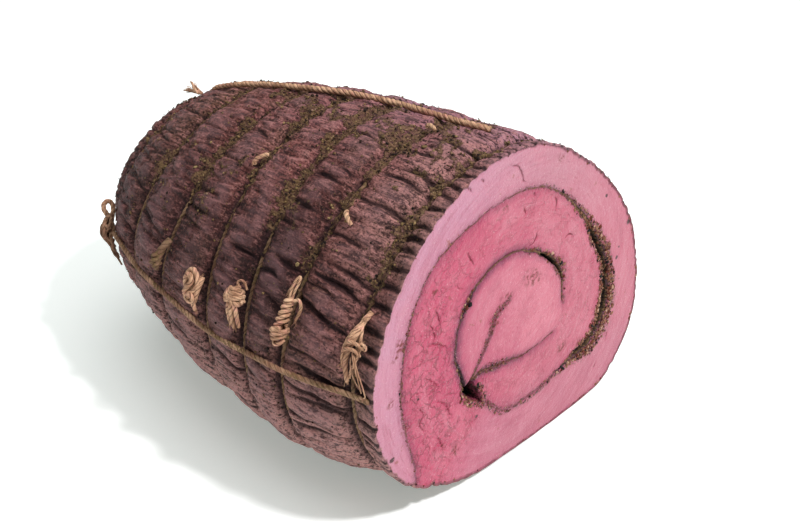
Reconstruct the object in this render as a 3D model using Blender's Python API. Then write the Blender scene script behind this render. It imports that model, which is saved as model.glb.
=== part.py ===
"""Rolled and tied joint of roast beef, cut square at one end, with herbs between its turns.

The roll lies along X with its cut face at the +X end and rests on its flattened underside.
A spot on the roll is named by two numbers. Its place is the distance back from the cut face.
Its angle is measured round the roll, in degrees: 0 is the +Y side, 90 the top, 180 the -Y
side and 270 the underside. All lengths are in millimetres until a mesh is written.
"""
from math import atan2, cos, degrees, exp, pi, radians, sin

import bmesh
import bpy
from mathutils import Matrix, Vector

MM = 0.001
GAP = 0.35

# The roll of meat
ROLL_LENGTH = 186.0
AXIS_HEIGHT = 60.0
CUT_RADII = (70.0, 59.5, 57.0, 63.0, 69.0, 72.5, 74.5, 72.0, 64.5, 62.0, 77.0, 83.0)
TAPER = 2.3
FULLER_SIDE_TAPER = 3.5
FULLER_SIDE_ANGLE = 172.0
FULLER_SIDE_SPREAD = 32.0
UNDER_TAPER = 6.0
TAPER_ROUNDNESS = 2.6
BELLY_SWELL = 0.12
BELLY_ANGLE = 215.0
BELLY_SPREAD = 50.0
BELLY_START = 45.0
RING_POINTS = 36
SKIN_STEP = (1.0, 3.0)
SHARP_ANGLE = 35.0

# The tied loops: place at mid height, lean of the upper half, bow of the upper half
LOOPS = (
    (11.0, 0.0, -3.0),
    (38.5, -4.0, -1.0),
    (57.0, -1.0, 1.0),
    (77.5, 1.0, -1.5),
    (107.0, -8.0, -2.0),
    (131.0, -4.0, -2.0),
    (157.0, -1.0, 0.0),
)
PILLOW_DEPTH = 2.2
PILLOW_RISE = 20.0
NOTCH_DEPTH = 4.6
NOTCH_HALF_WIDTH = 3.2
WIDE_BULGE = 22.0
DOME_PLACES = (167.0, 174.5, 180.5, 184.0)

# The string
STRING_RADIUS = 1.25
STRING_IN_NOTCH = 3.1
LENGTHWISE_LIFT = STRING_RADIUS + GAP
LAID_STEP = 6.5
SCRAP_STEP = 2.0
TOP_ROUTE = (
    (20.0, 92.0),
    (60.0, 93.0),
    (100.0, 98.0),
    (140.0, 102.0),
    (160.0, 106.0),
    (172.0, 120.0),
    (177.0, 142.0),
    (172.5, 166.0),
)
SIDE_ROUTE = ((1.5, 178.5), (50.0, 181.0), (100.0, 181.0), (135.0, 179.0), (150.0, 180.0))

# Lumps of knotted and frayed string: place, angle, (along, out, round) sizes,
# widths at the lower end, middle and upper end, number of ridges and their twist
KNOTS = {
    "knot_loop_1": (8.0, 167.0, (8.0, 5.0, 20.0), (1.3, 0.9, 1.0), 5, 0.6),
    "knot_loop_2": (36.0, 166.5, (6.2, 6.0, 16.5), (1.5, 0.9, 0.8), 3, 1.2),
    "knot_loop_3": (57.0, 169.0, (7.4, 6.4, 12.5), (0.8, 1.0, 1.3), 3, 0.8),
    "knot_loop_4": (79.0, 171.0, (9.4, 6.6, 12.5), (0.9, 1.0, 1.1), 2, 0.5),
    "knot_loop_5": (104.5, 172.0, (5.6, 4.6, 7.0), (1.0, 1.0, 1.0), 3, 0.5),
    "knot_far_end": (157.0, 184.5, (10.0, 6.0, 16.0), (1.2, 1.0, 0.9), 4, 0.8),
    "tuft_far_end_top": (158.0, 114.0, (9.0, 4.0, 5.0), (1.0, 1.0, 1.0), 3, 0.4),
}
KNOT_RIDGE = 0.12
KNOT_SEGMENTS = (12, 7)
EYE_SPOT = (162.0, 172.0)
EYE_RADIUS = 2.6
EYE_POINTS = 10
EYE_LEAN = (-0.5, -0.6)

# Loose scraps of string on the skin: (place, angle) at each end
SCRAPS = {
    "scrap_upper": ((74.5, 136.0), (78.5, 132.0)),
    "scrap_middle": ((29.0, 138.0), (34.0, 140.5)),
    "scrap_top": ((32.5, 103.0), (37.5, 104.0)),
}

# The herb layers in the cut face: (across, height) along each line of herbs
HERB_END = 158.0
HERB_PLACES = (0.0, 40.0, 80.0, 120.0, HERB_END)
LINE_STEPS = 2
CUTTER_FRONT = 2.0
LEAD_IN_STEPS = 3
SEAM_REACH = 20.0
OUTER_HERB_LINE = (
    (-54.6, 26.0),
    (-58.6, 42.0),
    (-60.8, 60.0),
    (-57.0, 81.0),
    (-46.0, 97.0),
    (-28.0, 104.6),
    (-8.0, 107.2),
    (9.0, 103.6),
    (25.0, 92.4),
    (38.5, 76.5),
    (49.0, 58.5),
    (51.5, 42.0),
    (46.0, 28.5),
    (31.0, 24.6),
    (12.0, 20.8),
    (-6.5, 22.2),
    (-19.0, 32.0),
)
OVER_CORE_LINE = (
    (-30.8, 46.5),
    (-35.0, 60.0),
    (-31.5, 73.5),
    (-20.0, 84.2),
    (-5.0, 85.2),
    (9.0, 78.4),
    (20.5, 68.0),
    (24.0, 53.0),
)
UNDER_CORE_LINE = ((-20.8, 45.8), (-12.0, 43.8), (0.0, 41.4), (11.0, 40.9), (19.5, 42.2))
CORE_FOLD_LINE = ((-23.6, 49.0), (-18.2, 57.6), (-14.6, 65.0), (-8.0, 68.2))
# Half thicknesses of herbs: the thinnest, and what is heaped on it
THIN_HERBS = 0.45
OUTER_HEAP = 1.1
OUTER_HEAP_AT = (0.64, 0.085)
OUTER_END_EXTRA = 0.25
OUTER_END_AT = (0.7, 0.1)
OVER_CORE_START_EXTRA = 0.35
OVER_CORE_HEAP = 0.35
OVER_CORE_HEAP_AT = (0.72, 0.1)

HOLE_CENTRE = (-25.6, 39.6)
HOLE_HALF_SIZES = (3.0, 5.4)
HOLE_TILT = -28.0
HOLE_PLACES = (-2.0, 0.0, 40.0, 70.0)
HOLE_SHARES = (1.0, 1.0, 0.65, 0.3)
HOLE_POINTS = 10

COLOURS = {
    "meat": (0.62, 0.25, 0.26, 1.0),
    "herbs": (0.16, 0.12, 0.04, 1.0),
    "string": (0.55, 0.38, 0.2, 1.0),
}


def start_empty():
    for item in list(bpy.data.objects):
        bpy.data.objects.remove(item, do_unlink=True)


def make_material(name, roughness):
    material = bpy.data.materials.new(name)
    material.use_nodes = True
    shader = material.node_tree.nodes["Principled BSDF"]
    shader.inputs["Base Color"].default_value = COLOURS[name]
    shader.inputs["Roughness"].default_value = roughness
    shader.inputs["Metallic"].default_value = 0.0
    return material


def smooth_step(value):
    value = min(1.0, max(0.0, value))
    return value * value * (3.0 - 2.0 * value)


def on_curve(before, start, end, after, share):
    """Point at a share of the way from start to end on a smooth curve through four values."""
    return 0.5 * (
        2.0 * start
        + (end - before) * share
        + (2.0 * before - 5.0 * start + 4.0 * end - after) * share ** 2
        + (3.0 * start - before - 3.0 * end + after) * share ** 3
    )


def cut_radius(angle):
    """Radius of the cut face on a smooth closed curve through CUT_RADII."""
    count = len(CUT_RADII)
    whole, share = divmod((angle % 360.0) * count / 360.0, 1.0)
    near = [CUT_RADII[(int(whole) + step) % count] for step in (-1, 0, 1, 2)]
    return on_curve(*near, share)


def heap(value, middle, spread):
    """1 in the middle of a heap, falling smoothly to 0 on both sides."""
    return exp(-(((value - middle) / spread) ** 2))


def heap_round(angle, middle, spread):
    """The same for an angle round the roll."""
    return heap((angle - middle + 180.0) % 360.0, 180.0, spread)


def taper(place, fullness):
    return max(0.0, 1.0 - (place / ROLL_LENGTH) ** fullness) ** (1.0 / TAPER_ROUNDNESS)


def outline(place, angle):
    """Across and height of the roll's full skin, flat where it lies on the board."""
    turn = radians(angle)
    down = max(0.0, -sin(turn)) ** 4
    side = heap_round(angle, FULLER_SIDE_ANGLE, FULLER_SIDE_SPREAD)
    fullness = TAPER + (FULLER_SIDE_TAPER - TAPER) * side
    shrink = (1.0 - down) * taper(place, fullness) + down * taper(place, UNDER_TAPER)
    belly = BELLY_SWELL * heap_round(angle, BELLY_ANGLE, BELLY_SPREAD)
    swell = belly * smooth_step(place / BELLY_START)
    radius = cut_radius(angle) * shrink * (1.0 + swell)
    return Vector((radius * cos(turn), max(0.0, AXIS_HEIGHT + radius * sin(turn))))


def outward(place, angle):
    """Direction out of the skin, square to the outline."""
    along = outline(place, angle + SKIN_STEP[1]) - outline(place, angle - SKIN_STEP[1])
    return Vector((along.y, -along.x)).normalized()


def between(place, column):
    """A loop's lean or bow, shared out along the roll between the loops."""
    knots = [(0.0, 0.0)]
    knots += [(loop[0], loop[column]) for loop in LOOPS]
    knots += [(ROLL_LENGTH, 0.0)]
    for (start, low), (end, high) in zip(knots, knots[1:]):
        if place <= end:
            return low + (high - low) * (place - start) / (end - start)
    return 0.0


def true_place(place, angle):
    """Where a ring that starts at this place really lies, once its upper half leans and bows."""
    above = max(0.0, cut_radius(angle) * sin(radians(angle)) / AXIS_HEIGHT)
    return place + between(place, 1) * above + between(place, 2) * above ** 2


def on_roll(place, angle, lift):
    """Point in metres at a height above the full skin; the cut face is at x = 0."""
    back = true_place(place, angle)
    spot = outline(back, angle) + outward(back, angle) * lift
    return Vector((-back, spot.x, max(0.0, spot.y))) * MM


def above_skin(place, angle, lift):
    """Point in metres square above the full skin, also where the roll tapers."""
    further = place + SKIN_STEP[0]
    nearer = max(0.0, place - SKIN_STEP[0])
    back = on_roll(further, angle, 0.0) - on_roll(nearer, angle, 0.0)
    around = on_roll(place, angle + SKIN_STEP[1], 0.0) - on_roll(place, angle - SKIN_STEP[1], 0.0)
    return on_roll(place, angle, 0.0) + back.cross(around).normalized() * lift * MM


def pillow(place, angle):
    """How far the skin beside a loop is drawn in; the flat underside isn't."""
    height = outline(true_place(place, angle), angle).y
    return PILLOW_DEPTH * smooth_step(height / PILLOW_RISE)


def roll_rings():
    """Rings of the skin from the cut to the far end: (place, share of pillow, notch depth)."""
    rings = [(0.0, 0.0, 0.0)]
    for number, loop in enumerate(LOOPS):
        rings.append((loop[0] - NOTCH_HALF_WIDTH, 1.0, 0.0))
        rings.append((loop[0], 1.0, NOTCH_DEPTH))
        rings.append((loop[0] + NOTCH_HALF_WIDTH, 1.0, 0.0))
        if number + 1 < len(LOOPS):
            start = loop[0] + NOTCH_HALF_WIDTH
            end = LOOPS[number + 1][0] - NOTCH_HALF_WIDTH
            bulges = 2 if end - start > WIDE_BULGE else 1
            for step in range(bulges):
                rings.append((start + (end - start) * (step + 1) / (bulges + 1), 0.0, 0.0))
    rings += [(place, 0.0, 0.0) for place in DOME_PLACES]
    return rings


def link(item, collection, material, parent):
    item.data.materials.append(material)
    collection.objects.link(item)
    item.parent = parent
    return item


def mesh_from(name, corners, faces):
    mesh = bpy.data.meshes.new(name)
    mesh.from_pydata(corners, [], faces)
    shape = bmesh.new()
    shape.from_mesh(mesh)
    bmesh.ops.recalc_face_normals(shape, faces=shape.faces)
    shape.to_mesh(mesh)
    shape.free()
    mesh.shade_smooth()
    mesh.set_sharp_from_angle(angle=radians(SHARP_ANGLE))
    return mesh


def loft(name, rings, start_faces, end_faces):
    """Closed body through rings of equal point count, its ends closed by the given faces."""
    count = len(rings[0])
    corners = [corner for ring in rings for corner in ring]
    faces = []
    for number in range(len(rings) - 1):
        for step in range(count):
            after = (step + 1) % count
            first = number * count
            second = first + count
            faces.append((first + step, first + after, second + after, second + step))
    last = (len(rings) - 1) * count
    faces += start_faces
    faces += [tuple(last + corner for corner in face) for face in end_faces]
    return mesh_from(name, corners, faces)


def roll_mesh():
    angles = [360.0 * step / RING_POINTS for step in range(RING_POINTS)]
    rings = []
    for place, share, notch in roll_rings():
        rings.append([on_roll(place, angle, -share * pillow(place, angle) - notch) for angle in angles])
    ends = [tuple(range(RING_POINTS))]
    return loft("meat", rings, ends, ends)


def in_roll(place, spot):
    """Point inside the roll at a place, for a spot (across, height) of the cut face."""
    away = Vector((spot[0], spot[1] - AXIS_HEIGHT))
    angle = degrees(atan2(away.y, away.x)) % 360.0
    centre = Vector((0.0, AXIS_HEIGHT))
    share = away.length / (outline(0.0, angle) - centre).length
    inside = centre + (outline(place, angle) - centre) * share
    return Vector((-place, inside.x, inside.y)) * MM


def smooth_line(spots, steps):
    """Denser points on a smooth open curve through the spots."""
    padded = [2 * Vector(spots[0]) - Vector(spots[1])]
    padded += [Vector(spot) for spot in spots]
    padded.append(2 * padded[-1] - padded[-2])
    line = []
    for number in range(len(spots) - 1):
        for step in range(steps):
            line.append(on_curve(*padded[number:number + 4], step / steps))
    line.append(Vector(spots[-1]))
    return line


def layer_mesh(name, spots, half_thickness, extra, lead_in, front):
    """Thin sheet that follows a line of the cut face back through the roll.

    half_thickness is a function of the share of the way along the line. A cutter is thicker
    and longer by extra, starts earlier by lead_in and stands out of the cut face by front.
    """
    line = smooth_line(spots, LINE_STEPS)
    halves = [half_thickness(number / (len(line) - 1)) + extra for number in range(len(line))]
    first = (line[1] - line[0]).normalized()
    line[-1] += (line[-1] - line[-2]).normalized() * extra
    for step in range(LEAD_IN_STEPS if lead_in else 0):
        line.insert(0, line[0] - first * lead_in / LEAD_IN_STEPS)
        halves.insert(0, halves[0])
    last = len(line) - 1
    sides = ([], [])
    for number, spot in enumerate(line):
        along = (line[min(number + 1, last)] - line[max(number - 1, 0)]).normalized()
        across = Vector((-along.y, along.x)) * halves[number]
        sides[0].append(spot + across)
        sides[1].append(spot - across)
    around = sides[0] + sides[1][::-1]
    places = HERB_PLACES[:-1] + (HERB_PLACES[-1] + extra,)
    rings = [[in_roll(place, spot) for spot in around] for place in places]
    if front:
        rings.insert(0, [corner + Vector((front * MM, 0.0, 0.0)) for corner in rings[0]])
    count = len(around)
    strip = [(step, step + 1, count - 2 - step, count - 1 - step) for step in range(last)]
    return loft(name, rings, strip, strip)


def outer_thickness(share):
    """Herbs lie thin on the left and over the top, and heaped in the right-hand bend."""
    later = smooth_step((share - OUTER_END_AT[0]) / OUTER_END_AT[1])
    return THIN_HERBS + OUTER_HEAP * heap(share, *OUTER_HEAP_AT) + OUTER_END_EXTRA * later


def over_core_thickness(share):
    """Herbs lie thicker where this layer starts at the hole, and heaped before it fades."""
    started = OVER_CORE_START_EXTRA * (1.0 - share)
    return THIN_HERBS + started + OVER_CORE_HEAP * heap(share, *OVER_CORE_HEAP_AT)


def even_thickness(share):
    """Herbs lie thin along the whole line, a little thicker halfway."""
    return THIN_HERBS * (1.0 + 0.2 * sin(pi * share))


# Herb layers: line, half thickness along it, and how much earlier the slit for it starts
HERB_LAYERS = {
    "herb_layer_outer_turn": (OUTER_HERB_LINE, outer_thickness, SEAM_REACH),
    "herb_layer_over_core": (OVER_CORE_LINE, over_core_thickness, GAP),
    "herb_layer_under_core": (UNDER_CORE_LINE, even_thickness, GAP),
    "herb_layer_core_fold": (CORE_FOLD_LINE, even_thickness, GAP),
}


def hole_mesh():
    """Gap between the turns where the herb layers meet, wide at the cut and closing inwards."""
    tilt = radians(HOLE_TILT)
    rings = []
    for place, shrink in zip(HOLE_PLACES, HOLE_SHARES):
        ring = []
        for step in range(HOLE_POINTS):
            turn = 2.0 * pi * step / HOLE_POINTS
            wide = HOLE_HALF_SIZES[0] * cos(turn) * shrink
            tall = HOLE_HALF_SIZES[1] * sin(turn) * shrink
            across = HOLE_CENTRE[0] + wide * cos(tilt) - tall * sin(tilt)
            height = HOLE_CENTRE[1] + wide * sin(tilt) + tall * cos(tilt)
            spot = in_roll(max(0.0, place), (across, height))
            ring.append(Vector((-place * MM, spot.y, spot.z)))
        rings.append(ring)
    ends = [tuple(range(HOLE_POINTS))]
    return loft("hole_cutter", rings, ends, ends)


def add_cutter(mesh, cutters, meat):
    cutter = bpy.data.objects.new(mesh.name, mesh)
    cutter.hide_render = True
    cutter.display_type = "WIRE"
    cutters.objects.link(cutter)
    cutter.parent = meat.parent
    cut = meat.modifiers.new(mesh.name, "BOOLEAN")
    cut.operation = "DIFFERENCE"
    cut.solver = "EXACT"
    cut.object = cutter


def string(name, points, closed):
    """Tube of string through points in metres."""
    curve = bpy.data.curves.new(name, "CURVE")
    curve.dimensions = "3D"
    curve.bevel_depth = STRING_RADIUS * MM
    curve.bevel_resolution = 1
    curve.use_fill_caps = not closed
    spline = curve.splines.new("POLY")
    spline.points.add(len(points) - 1)
    for corner, point in zip(spline.points, points):
        corner.co = (point.x, point.y, point.z, 1.0)
    spline.use_cyclic_u = closed
    return bpy.data.objects.new(name, curve)


def loop_points(number):
    """Ring in the bottom of its notch."""
    place = LOOPS[number][0]
    points = []
    for step in range(RING_POINTS):
        angle = 360.0 * step / RING_POINTS
        depth = pillow(place, angle) + NOTCH_DEPTH - STRING_IN_NOTCH
        points.append(on_roll(place, angle, -depth))
    return points


def laid_points(route, step_length):
    """Run of string laid on the skin, over the loops, along a route of (place, angle) spots."""
    points = []
    for spot in smooth_line(route, LINE_STEPS * 2):
        point = above_skin(spot.x, spot.y, LENGTHWISE_LIFT)
        if not points or (point - points[-1]).length > step_length * MM:
            points.append(point)
    points[-1] = above_skin(route[-1][0], route[-1][1], LENGTHWISE_LIFT)
    return points


def knot_mesh(name, sizes, widths, lobes, twist):
    """Lump of wound string: a long ball with ridges that turn round it.

    widths are its shares of full width at the lower end, the middle and the upper end.
    """
    shape = bmesh.new()
    bmesh.ops.create_uvsphere(shape, u_segments=KNOT_SEGMENTS[0], v_segments=KNOT_SEGMENTS[1], radius=0.5)
    for corner in shape.verts:
        turn = atan2(corner.co.y, corner.co.x)
        rise = corner.co.z * 2.0
        wide = widths[1] * (1.0 - rise ** 2) + (widths[2] if rise > 0.0 else widths[0]) * rise ** 2
        ridge = 1.0 - KNOT_RIDGE * (0.5 - 0.5 * cos(lobes * turn + twist * rise * pi))
        corner.co.x *= wide * ridge * sizes[0] * MM
        corner.co.y *= wide * ridge * sizes[1] * MM
        corner.co.z *= sizes[2] * MM
    mesh = bpy.data.meshes.new(name)
    shape.to_mesh(mesh)
    shape.free()
    mesh.shade_smooth()
    return mesh


def stand_on_roll(item, place, angle, thickness):
    """Set a lump on the skin: its X along the roll, its Y outwards and its Z round the roll."""
    item.location = above_skin(place, angle, thickness / 2.0 + GAP)
    outwards = (above_skin(place, angle, 1.0) - above_skin(place, angle, 0.0)).normalized()
    around = Vector((1.0, 0.0, 0.0)).cross(outwards).normalized()
    along = outwards.cross(around)
    item.rotation_euler = Matrix((along, outwards, around)).transposed().to_euler()


def eye_points():
    """Small open loop of string that stands out from the knot at the far end."""
    foot = above_skin(*EYE_SPOT, EYE_RADIUS + STRING_RADIUS + GAP)
    points = []
    for step in range(EYE_POINTS):
        turn = 2.0 * pi * step / EYE_POINTS
        spoke = Vector((EYE_LEAN[0] * cos(turn), EYE_LEAN[1] * cos(turn), sin(turn)))
        points.append(foot + spoke * EYE_RADIUS * MM)
    return points


def centre_on_origin(anchor, parts):
    """Move everything so that the middle of the whole box's underside is the origin."""
    bpy.context.view_layer.update()
    depsgraph = bpy.context.evaluated_depsgraph_get()
    corners = []
    for item in parts.objects:
        solid = item.evaluated_get(depsgraph)
        mesh = solid.to_mesh()
        corners += [solid.matrix_world @ corner.co for corner in mesh.vertices]
        solid.to_mesh_clear()
    for axis in (0, 1):
        values = [corner[axis] for corner in corners]
        anchor.location[axis] = -(min(values) + max(values)) / 2.0
    bpy.context.view_layer.update()


def main():
    start_empty()
    parts = bpy.data.collections.new("roast beef joint")
    cutters = bpy.data.collections.new("cutters")
    bpy.context.scene.collection.children.link(parts)
    bpy.context.scene.collection.children.link(cutters)
    anchor = bpy.data.objects.new("joint_anchor", None)
    bpy.context.scene.collection.objects.link(anchor)

    meat_finish = make_material("meat", 0.5)
    herb_finish = make_material("herbs", 0.9)
    string_finish = make_material("string", 0.85)

    meat = link(bpy.data.objects.new("meat", roll_mesh()), parts, meat_finish, anchor)
    for name, (spots, thickness, slit_reach) in HERB_LAYERS.items():
        layer = layer_mesh(name, spots, thickness, 0.0, 0.0, 0.0)
        link(bpy.data.objects.new(name, layer), parts, herb_finish, anchor)
        slit = layer_mesh(name + "_slit", spots, thickness, GAP, slit_reach, CUTTER_FRONT)
        add_cutter(slit, cutters, meat)
    add_cutter(hole_mesh(), cutters, meat)

    for number in range(len(LOOPS)):
        name = f"string_loop_{number + 1}"
        link(string(name, loop_points(number), True), parts, string_finish, anchor)
    top = laid_points(TOP_ROUTE, LAID_STEP)
    link(string("string_along_top", top, False), parts, string_finish, anchor)
    side = laid_points(SIDE_ROUTE, LAID_STEP)
    link(string("string_along_side", side, False), parts, string_finish, anchor)
    link(string("string_eye_far_end", eye_points(), True), parts, string_finish, anchor)

    for name, (place, angle, sizes, widths, lobes, twist) in KNOTS.items():
        lump = bpy.data.objects.new(name, knot_mesh(name, sizes, widths, lobes, twist))
        stand_on_roll(lump, place, angle, sizes[1])
        link(lump, parts, string_finish, anchor)
    for name, route in SCRAPS.items():
        link(string(name, laid_points(route, SCRAP_STEP), False), parts, string_finish, anchor)
    centre_on_origin(anchor, parts)


main()
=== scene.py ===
# %% [markdown]
# # A rolled joint of roast beef
#
# A flat piece of beef is spread with chopped herbs, rolled up, tied with loops of
# string and roasted. One end is then cut square, which shows the roll as a pink swirl.
# The plain solids of the joint come in first. Everything below is laid on them, in the
# same place and at the same size, so that nothing has to be fitted by eye.

# %% Load the solids
from math import cos, pi, radians, sin

import bpy
import numpy as np
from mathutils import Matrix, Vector
from mathutils.kdtree import KDTree


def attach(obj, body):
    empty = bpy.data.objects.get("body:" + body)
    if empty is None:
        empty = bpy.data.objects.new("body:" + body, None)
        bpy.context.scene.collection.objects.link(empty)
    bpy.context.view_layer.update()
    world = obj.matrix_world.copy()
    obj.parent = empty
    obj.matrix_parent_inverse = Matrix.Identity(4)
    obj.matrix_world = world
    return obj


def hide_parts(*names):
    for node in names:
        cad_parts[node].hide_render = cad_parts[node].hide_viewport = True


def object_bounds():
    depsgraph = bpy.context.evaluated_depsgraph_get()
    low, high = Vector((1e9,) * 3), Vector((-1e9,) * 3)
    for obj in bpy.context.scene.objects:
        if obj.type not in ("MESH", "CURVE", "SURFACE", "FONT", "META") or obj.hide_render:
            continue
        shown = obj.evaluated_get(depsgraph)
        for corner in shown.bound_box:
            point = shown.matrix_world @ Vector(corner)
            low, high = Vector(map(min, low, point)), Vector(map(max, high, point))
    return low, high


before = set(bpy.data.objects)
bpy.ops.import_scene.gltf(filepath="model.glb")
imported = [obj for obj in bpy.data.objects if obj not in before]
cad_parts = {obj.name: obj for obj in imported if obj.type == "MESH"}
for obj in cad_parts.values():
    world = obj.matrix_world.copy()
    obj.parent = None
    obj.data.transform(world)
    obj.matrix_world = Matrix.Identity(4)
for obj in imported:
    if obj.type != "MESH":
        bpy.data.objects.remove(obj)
MM = 0.001
solid_box = [list(corner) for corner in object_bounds()]
print("solids:", len(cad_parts), "box in mm:", np.round(np.array(solid_box) / MM, 1).tolist())

# %% [markdown]
# ## Where the roll lies
#
# Every spot on the roll has a place, which is the distance back from the cut face, and an
# angle round it: 0 is the far side, 90 the top, 180 the near side and 270 the underside.
# The radii of the cut face, the taper towards the far end and the lean of the tied loops
# are the same named sizes that the solids were made from, so the skin made here follows
# them. Only where the roll lies in the frame is measured, from the rim of the solid.

# %% The roll's sizes
ROLL_LENGTH = 186.0
AXIS_HEIGHT = 60.0
CUT_RADII = np.array((70.0, 59.5, 57.0, 63.0, 69.0, 72.5, 74.5, 72.0, 64.5, 62.0, 77.0, 83.0))
LOOP_PLACES = np.array((11.0, 38.5, 57.0, 77.5, 107.0, 131.0, 157.0))
LOOP_LEANS = np.array((0.0, -4.0, -1.0, 1.0, -8.0, -4.0, -1.0))
LOOP_BOWS = np.array((-3.0, -1.0, 1.0, -1.5, -2.0, -2.0, 0.0))
TAPER, SIDE_TAPER, UNDER_TAPER, ROUNDNESS = 2.3, 3.5, 6.0, 2.6
CORNER = 3.6


def eased(value):
    """0 below 0, 1 above 1 and smooth between."""
    value = np.clip(value, 0.0, 1.0)
    return value * value * (3.0 - 2.0 * value)


def heap(value, middle, spread):
    """1 in the middle of a heap, falling smoothly to 0 on both sides."""
    return np.exp(-(((value - middle) / spread) ** 2))


def heap_round(angle, middle, spread):
    return heap((angle - middle + 180.0) % 360.0, 180.0, spread)


def cut_radius(angle):
    """Radius of the cut face: a smooth closed curve through CUT_RADII."""
    turn = (angle % 360.0) * len(CUT_RADII) / 360.0
    whole = np.floor(turn).astype(int)
    share = turn - whole
    a, b, c, d = (CUT_RADII[(whole + step) % len(CUT_RADII)] for step in (-1, 0, 1, 2))
    return 0.5 * (2 * b + (c - a) * share + (2 * a - 5 * b + 4 * c - d) * share ** 2
                  + (3 * b - a - 3 * c + d) * share ** 3)


def taper(place, fullness):
    return np.clip(1.0 - (place / ROLL_LENGTH) ** fullness, 0.0, 1.0) ** (1.0 / ROUNDNESS)


def outline(place, angle):
    """Across and height of the roll's skin in mm, flat where it lies on the board."""
    down = np.maximum(0.0, -np.sin(np.radians(angle))) ** 4
    fullness = TAPER + (SIDE_TAPER - TAPER) * heap_round(angle, 172.0, 32.0)
    shrink = (1.0 - down) * taper(place, fullness) + down * taper(place, UNDER_TAPER)
    belly = 0.12 * heap_round(angle, 215.0, 50.0) * eased(place / 45.0)
    radius = cut_radius(angle) * shrink * (1.0 + belly)
    turn = np.radians(angle)
    height = AXIS_HEIGHT + radius * np.sin(turn)
    return radius * np.cos(turn), 0.5 * (height + np.sqrt(height ** 2 + CORNER ** 2)) - 0.25 * CORNER ** 2 / 20.0


def true_place(place, angle):
    """Where a ring that starts at this place really lies: its upper half leans and bows."""
    stations = np.concatenate(([0.0], LOOP_PLACES, [ROLL_LENGTH]))
    lean = np.interp(place, stations, np.concatenate(([0.0], LOOP_LEANS, [0.0])))
    bow = np.interp(place, stations, np.concatenate(([0.0], LOOP_BOWS, [0.0])))
    above = np.maximum(0.0, cut_radius(angle) * np.sin(np.radians(angle)) / AXIS_HEIGHT)
    return place + lean * above + bow * above ** 2


def on_roll(place, angle):
    """Points on the skin as (back from the cut, across, height) in mm."""
    back = true_place(place, angle)
    across, height = outline(back, angle)
    return np.stack((back, across, height), axis=-1)


rim = np.array([corner.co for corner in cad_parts["meat"].data.vertices])
cut_x = rim[:, 0].max()
rim = rim[rim[:, 0] > cut_x - 0.01 * MM]
ring = np.arange(0.0, 360.0, 10.0)
across = cut_radius(ring) * np.cos(np.radians(ring)) * MM
middle_y = (rim[:, 1].min() + rim[:, 1].max() - across.min() - across.max()) / 2.0


def in_frame(points):
    """(back, across, height) in mm to the frame's x, y and z in metres."""
    return np.stack((cut_x - points[..., 0] * MM, middle_y + points[..., 1] * MM,
                     points[..., 2] * MM), axis=-1)


print("cut face at x =", round(cut_x / MM, 2), "mm, its middle at y =", round(middle_y / MM, 2), "mm")

# %% [markdown]
# ## Camera
#
# The joint is seen from its cut end, from a little above and with the near side of the
# roll running away to the left. The camera stands at a fixed place from the middle of the
# cut face, so the view stays the same however the solids are centred.

# %% Camera
AZIMUTH, ELEVATION = radians(43.0), radians(30.0)
camera_data = bpy.data.cameras.new("joint_camera")
camera_data.lens = 50.1
camera_data.sensor_width = 36.0
camera = bpy.data.objects.new("joint_camera", camera_data)
bpy.context.scene.collection.objects.link(camera)
camera.location = Vector((cut_x + 0.18736, middle_y - 0.26295, 0.26294))
looking = Vector((-sin(AZIMUTH) * cos(ELEVATION), cos(AZIMUTH) * cos(ELEVATION), -sin(ELEVATION)))
camera.rotation_mode = "QUATERNION"
camera.rotation_quaternion = looking.to_track_quat("-Z", "Y")
bpy.context.scene.camera = camera
bpy.context.scene.view_settings.view_transform = "Standard"
print("camera at", [round(value, 4) for value in camera.location])

# %% [markdown]
# ## Unevenness
#
# Roast meat is uneven at every size, from lumps as big as a thumb to grains of a fraction
# of a millimetre. Noise worked out on a lattice of hashed numbers gives that, and gives the
# same lumps each time the script runs. It works on whole arrays of points at once, which
# keeps a skin of a hundred thousand points quick to make.

# %% Noise on a lattice
def hashed(x, y, z, seed):
    """A number between -1 and 1 that belongs to one corner of the lattice."""
    mixed = (x * 73856093) ^ (y * 19349663) ^ (z * 83492791) ^ (seed * 40503 + 12345)
    mixed = mixed & 0xFFFFFFFF
    mixed = ((mixed ^ (mixed >> 13)) * 1274126177) & 0xFFFFFFFF
    mixed = ((mixed ^ (mixed >> 15)) * 2246822519) & 0xFFFFFFFF
    return ((mixed ^ (mixed >> 16)) & 0xFFFF) / 32767.5 - 1.0


def lumps(points, size, seed=0):
    """Smooth noise between -1 and 1, with lumps of about the given size."""
    scaled = points / size
    corner = np.floor(scaled).astype(np.int64)
    share = scaled - corner
    share = share * share * (3.0 - 2.0 * share)
    total = 0.0
    for dx in (0, 1):
        wx = share[..., 0] if dx else 1.0 - share[..., 0]
        for dy in (0, 1):
            wy = share[..., 1] if dy else 1.0 - share[..., 1]
            for dz in (0, 1):
                wz = share[..., 2] if dz else 1.0 - share[..., 2]
                value = hashed(corner[..., 0] + dx, corner[..., 1] + dy, corner[..., 2] + dz, seed)
                total = total + wx * wy * wz * value
    return total


def rough(points, size, octaves=3, seed=0):
    """Noise with finer lumps on its lumps."""
    total, strength, whole = 0.0, 1.0, 0.0
    for step in range(octaves):
        total = total + strength * lumps(points, size / 2 ** step, seed + 17 * step)
        whole += strength
        strength *= 0.55
    return total / whole


chance = np.random.default_rng(38)
print("noise at one spot:", round(float(lumps(np.array([1.5, 2.5, 3.5]), 2.0)), 4))

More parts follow.
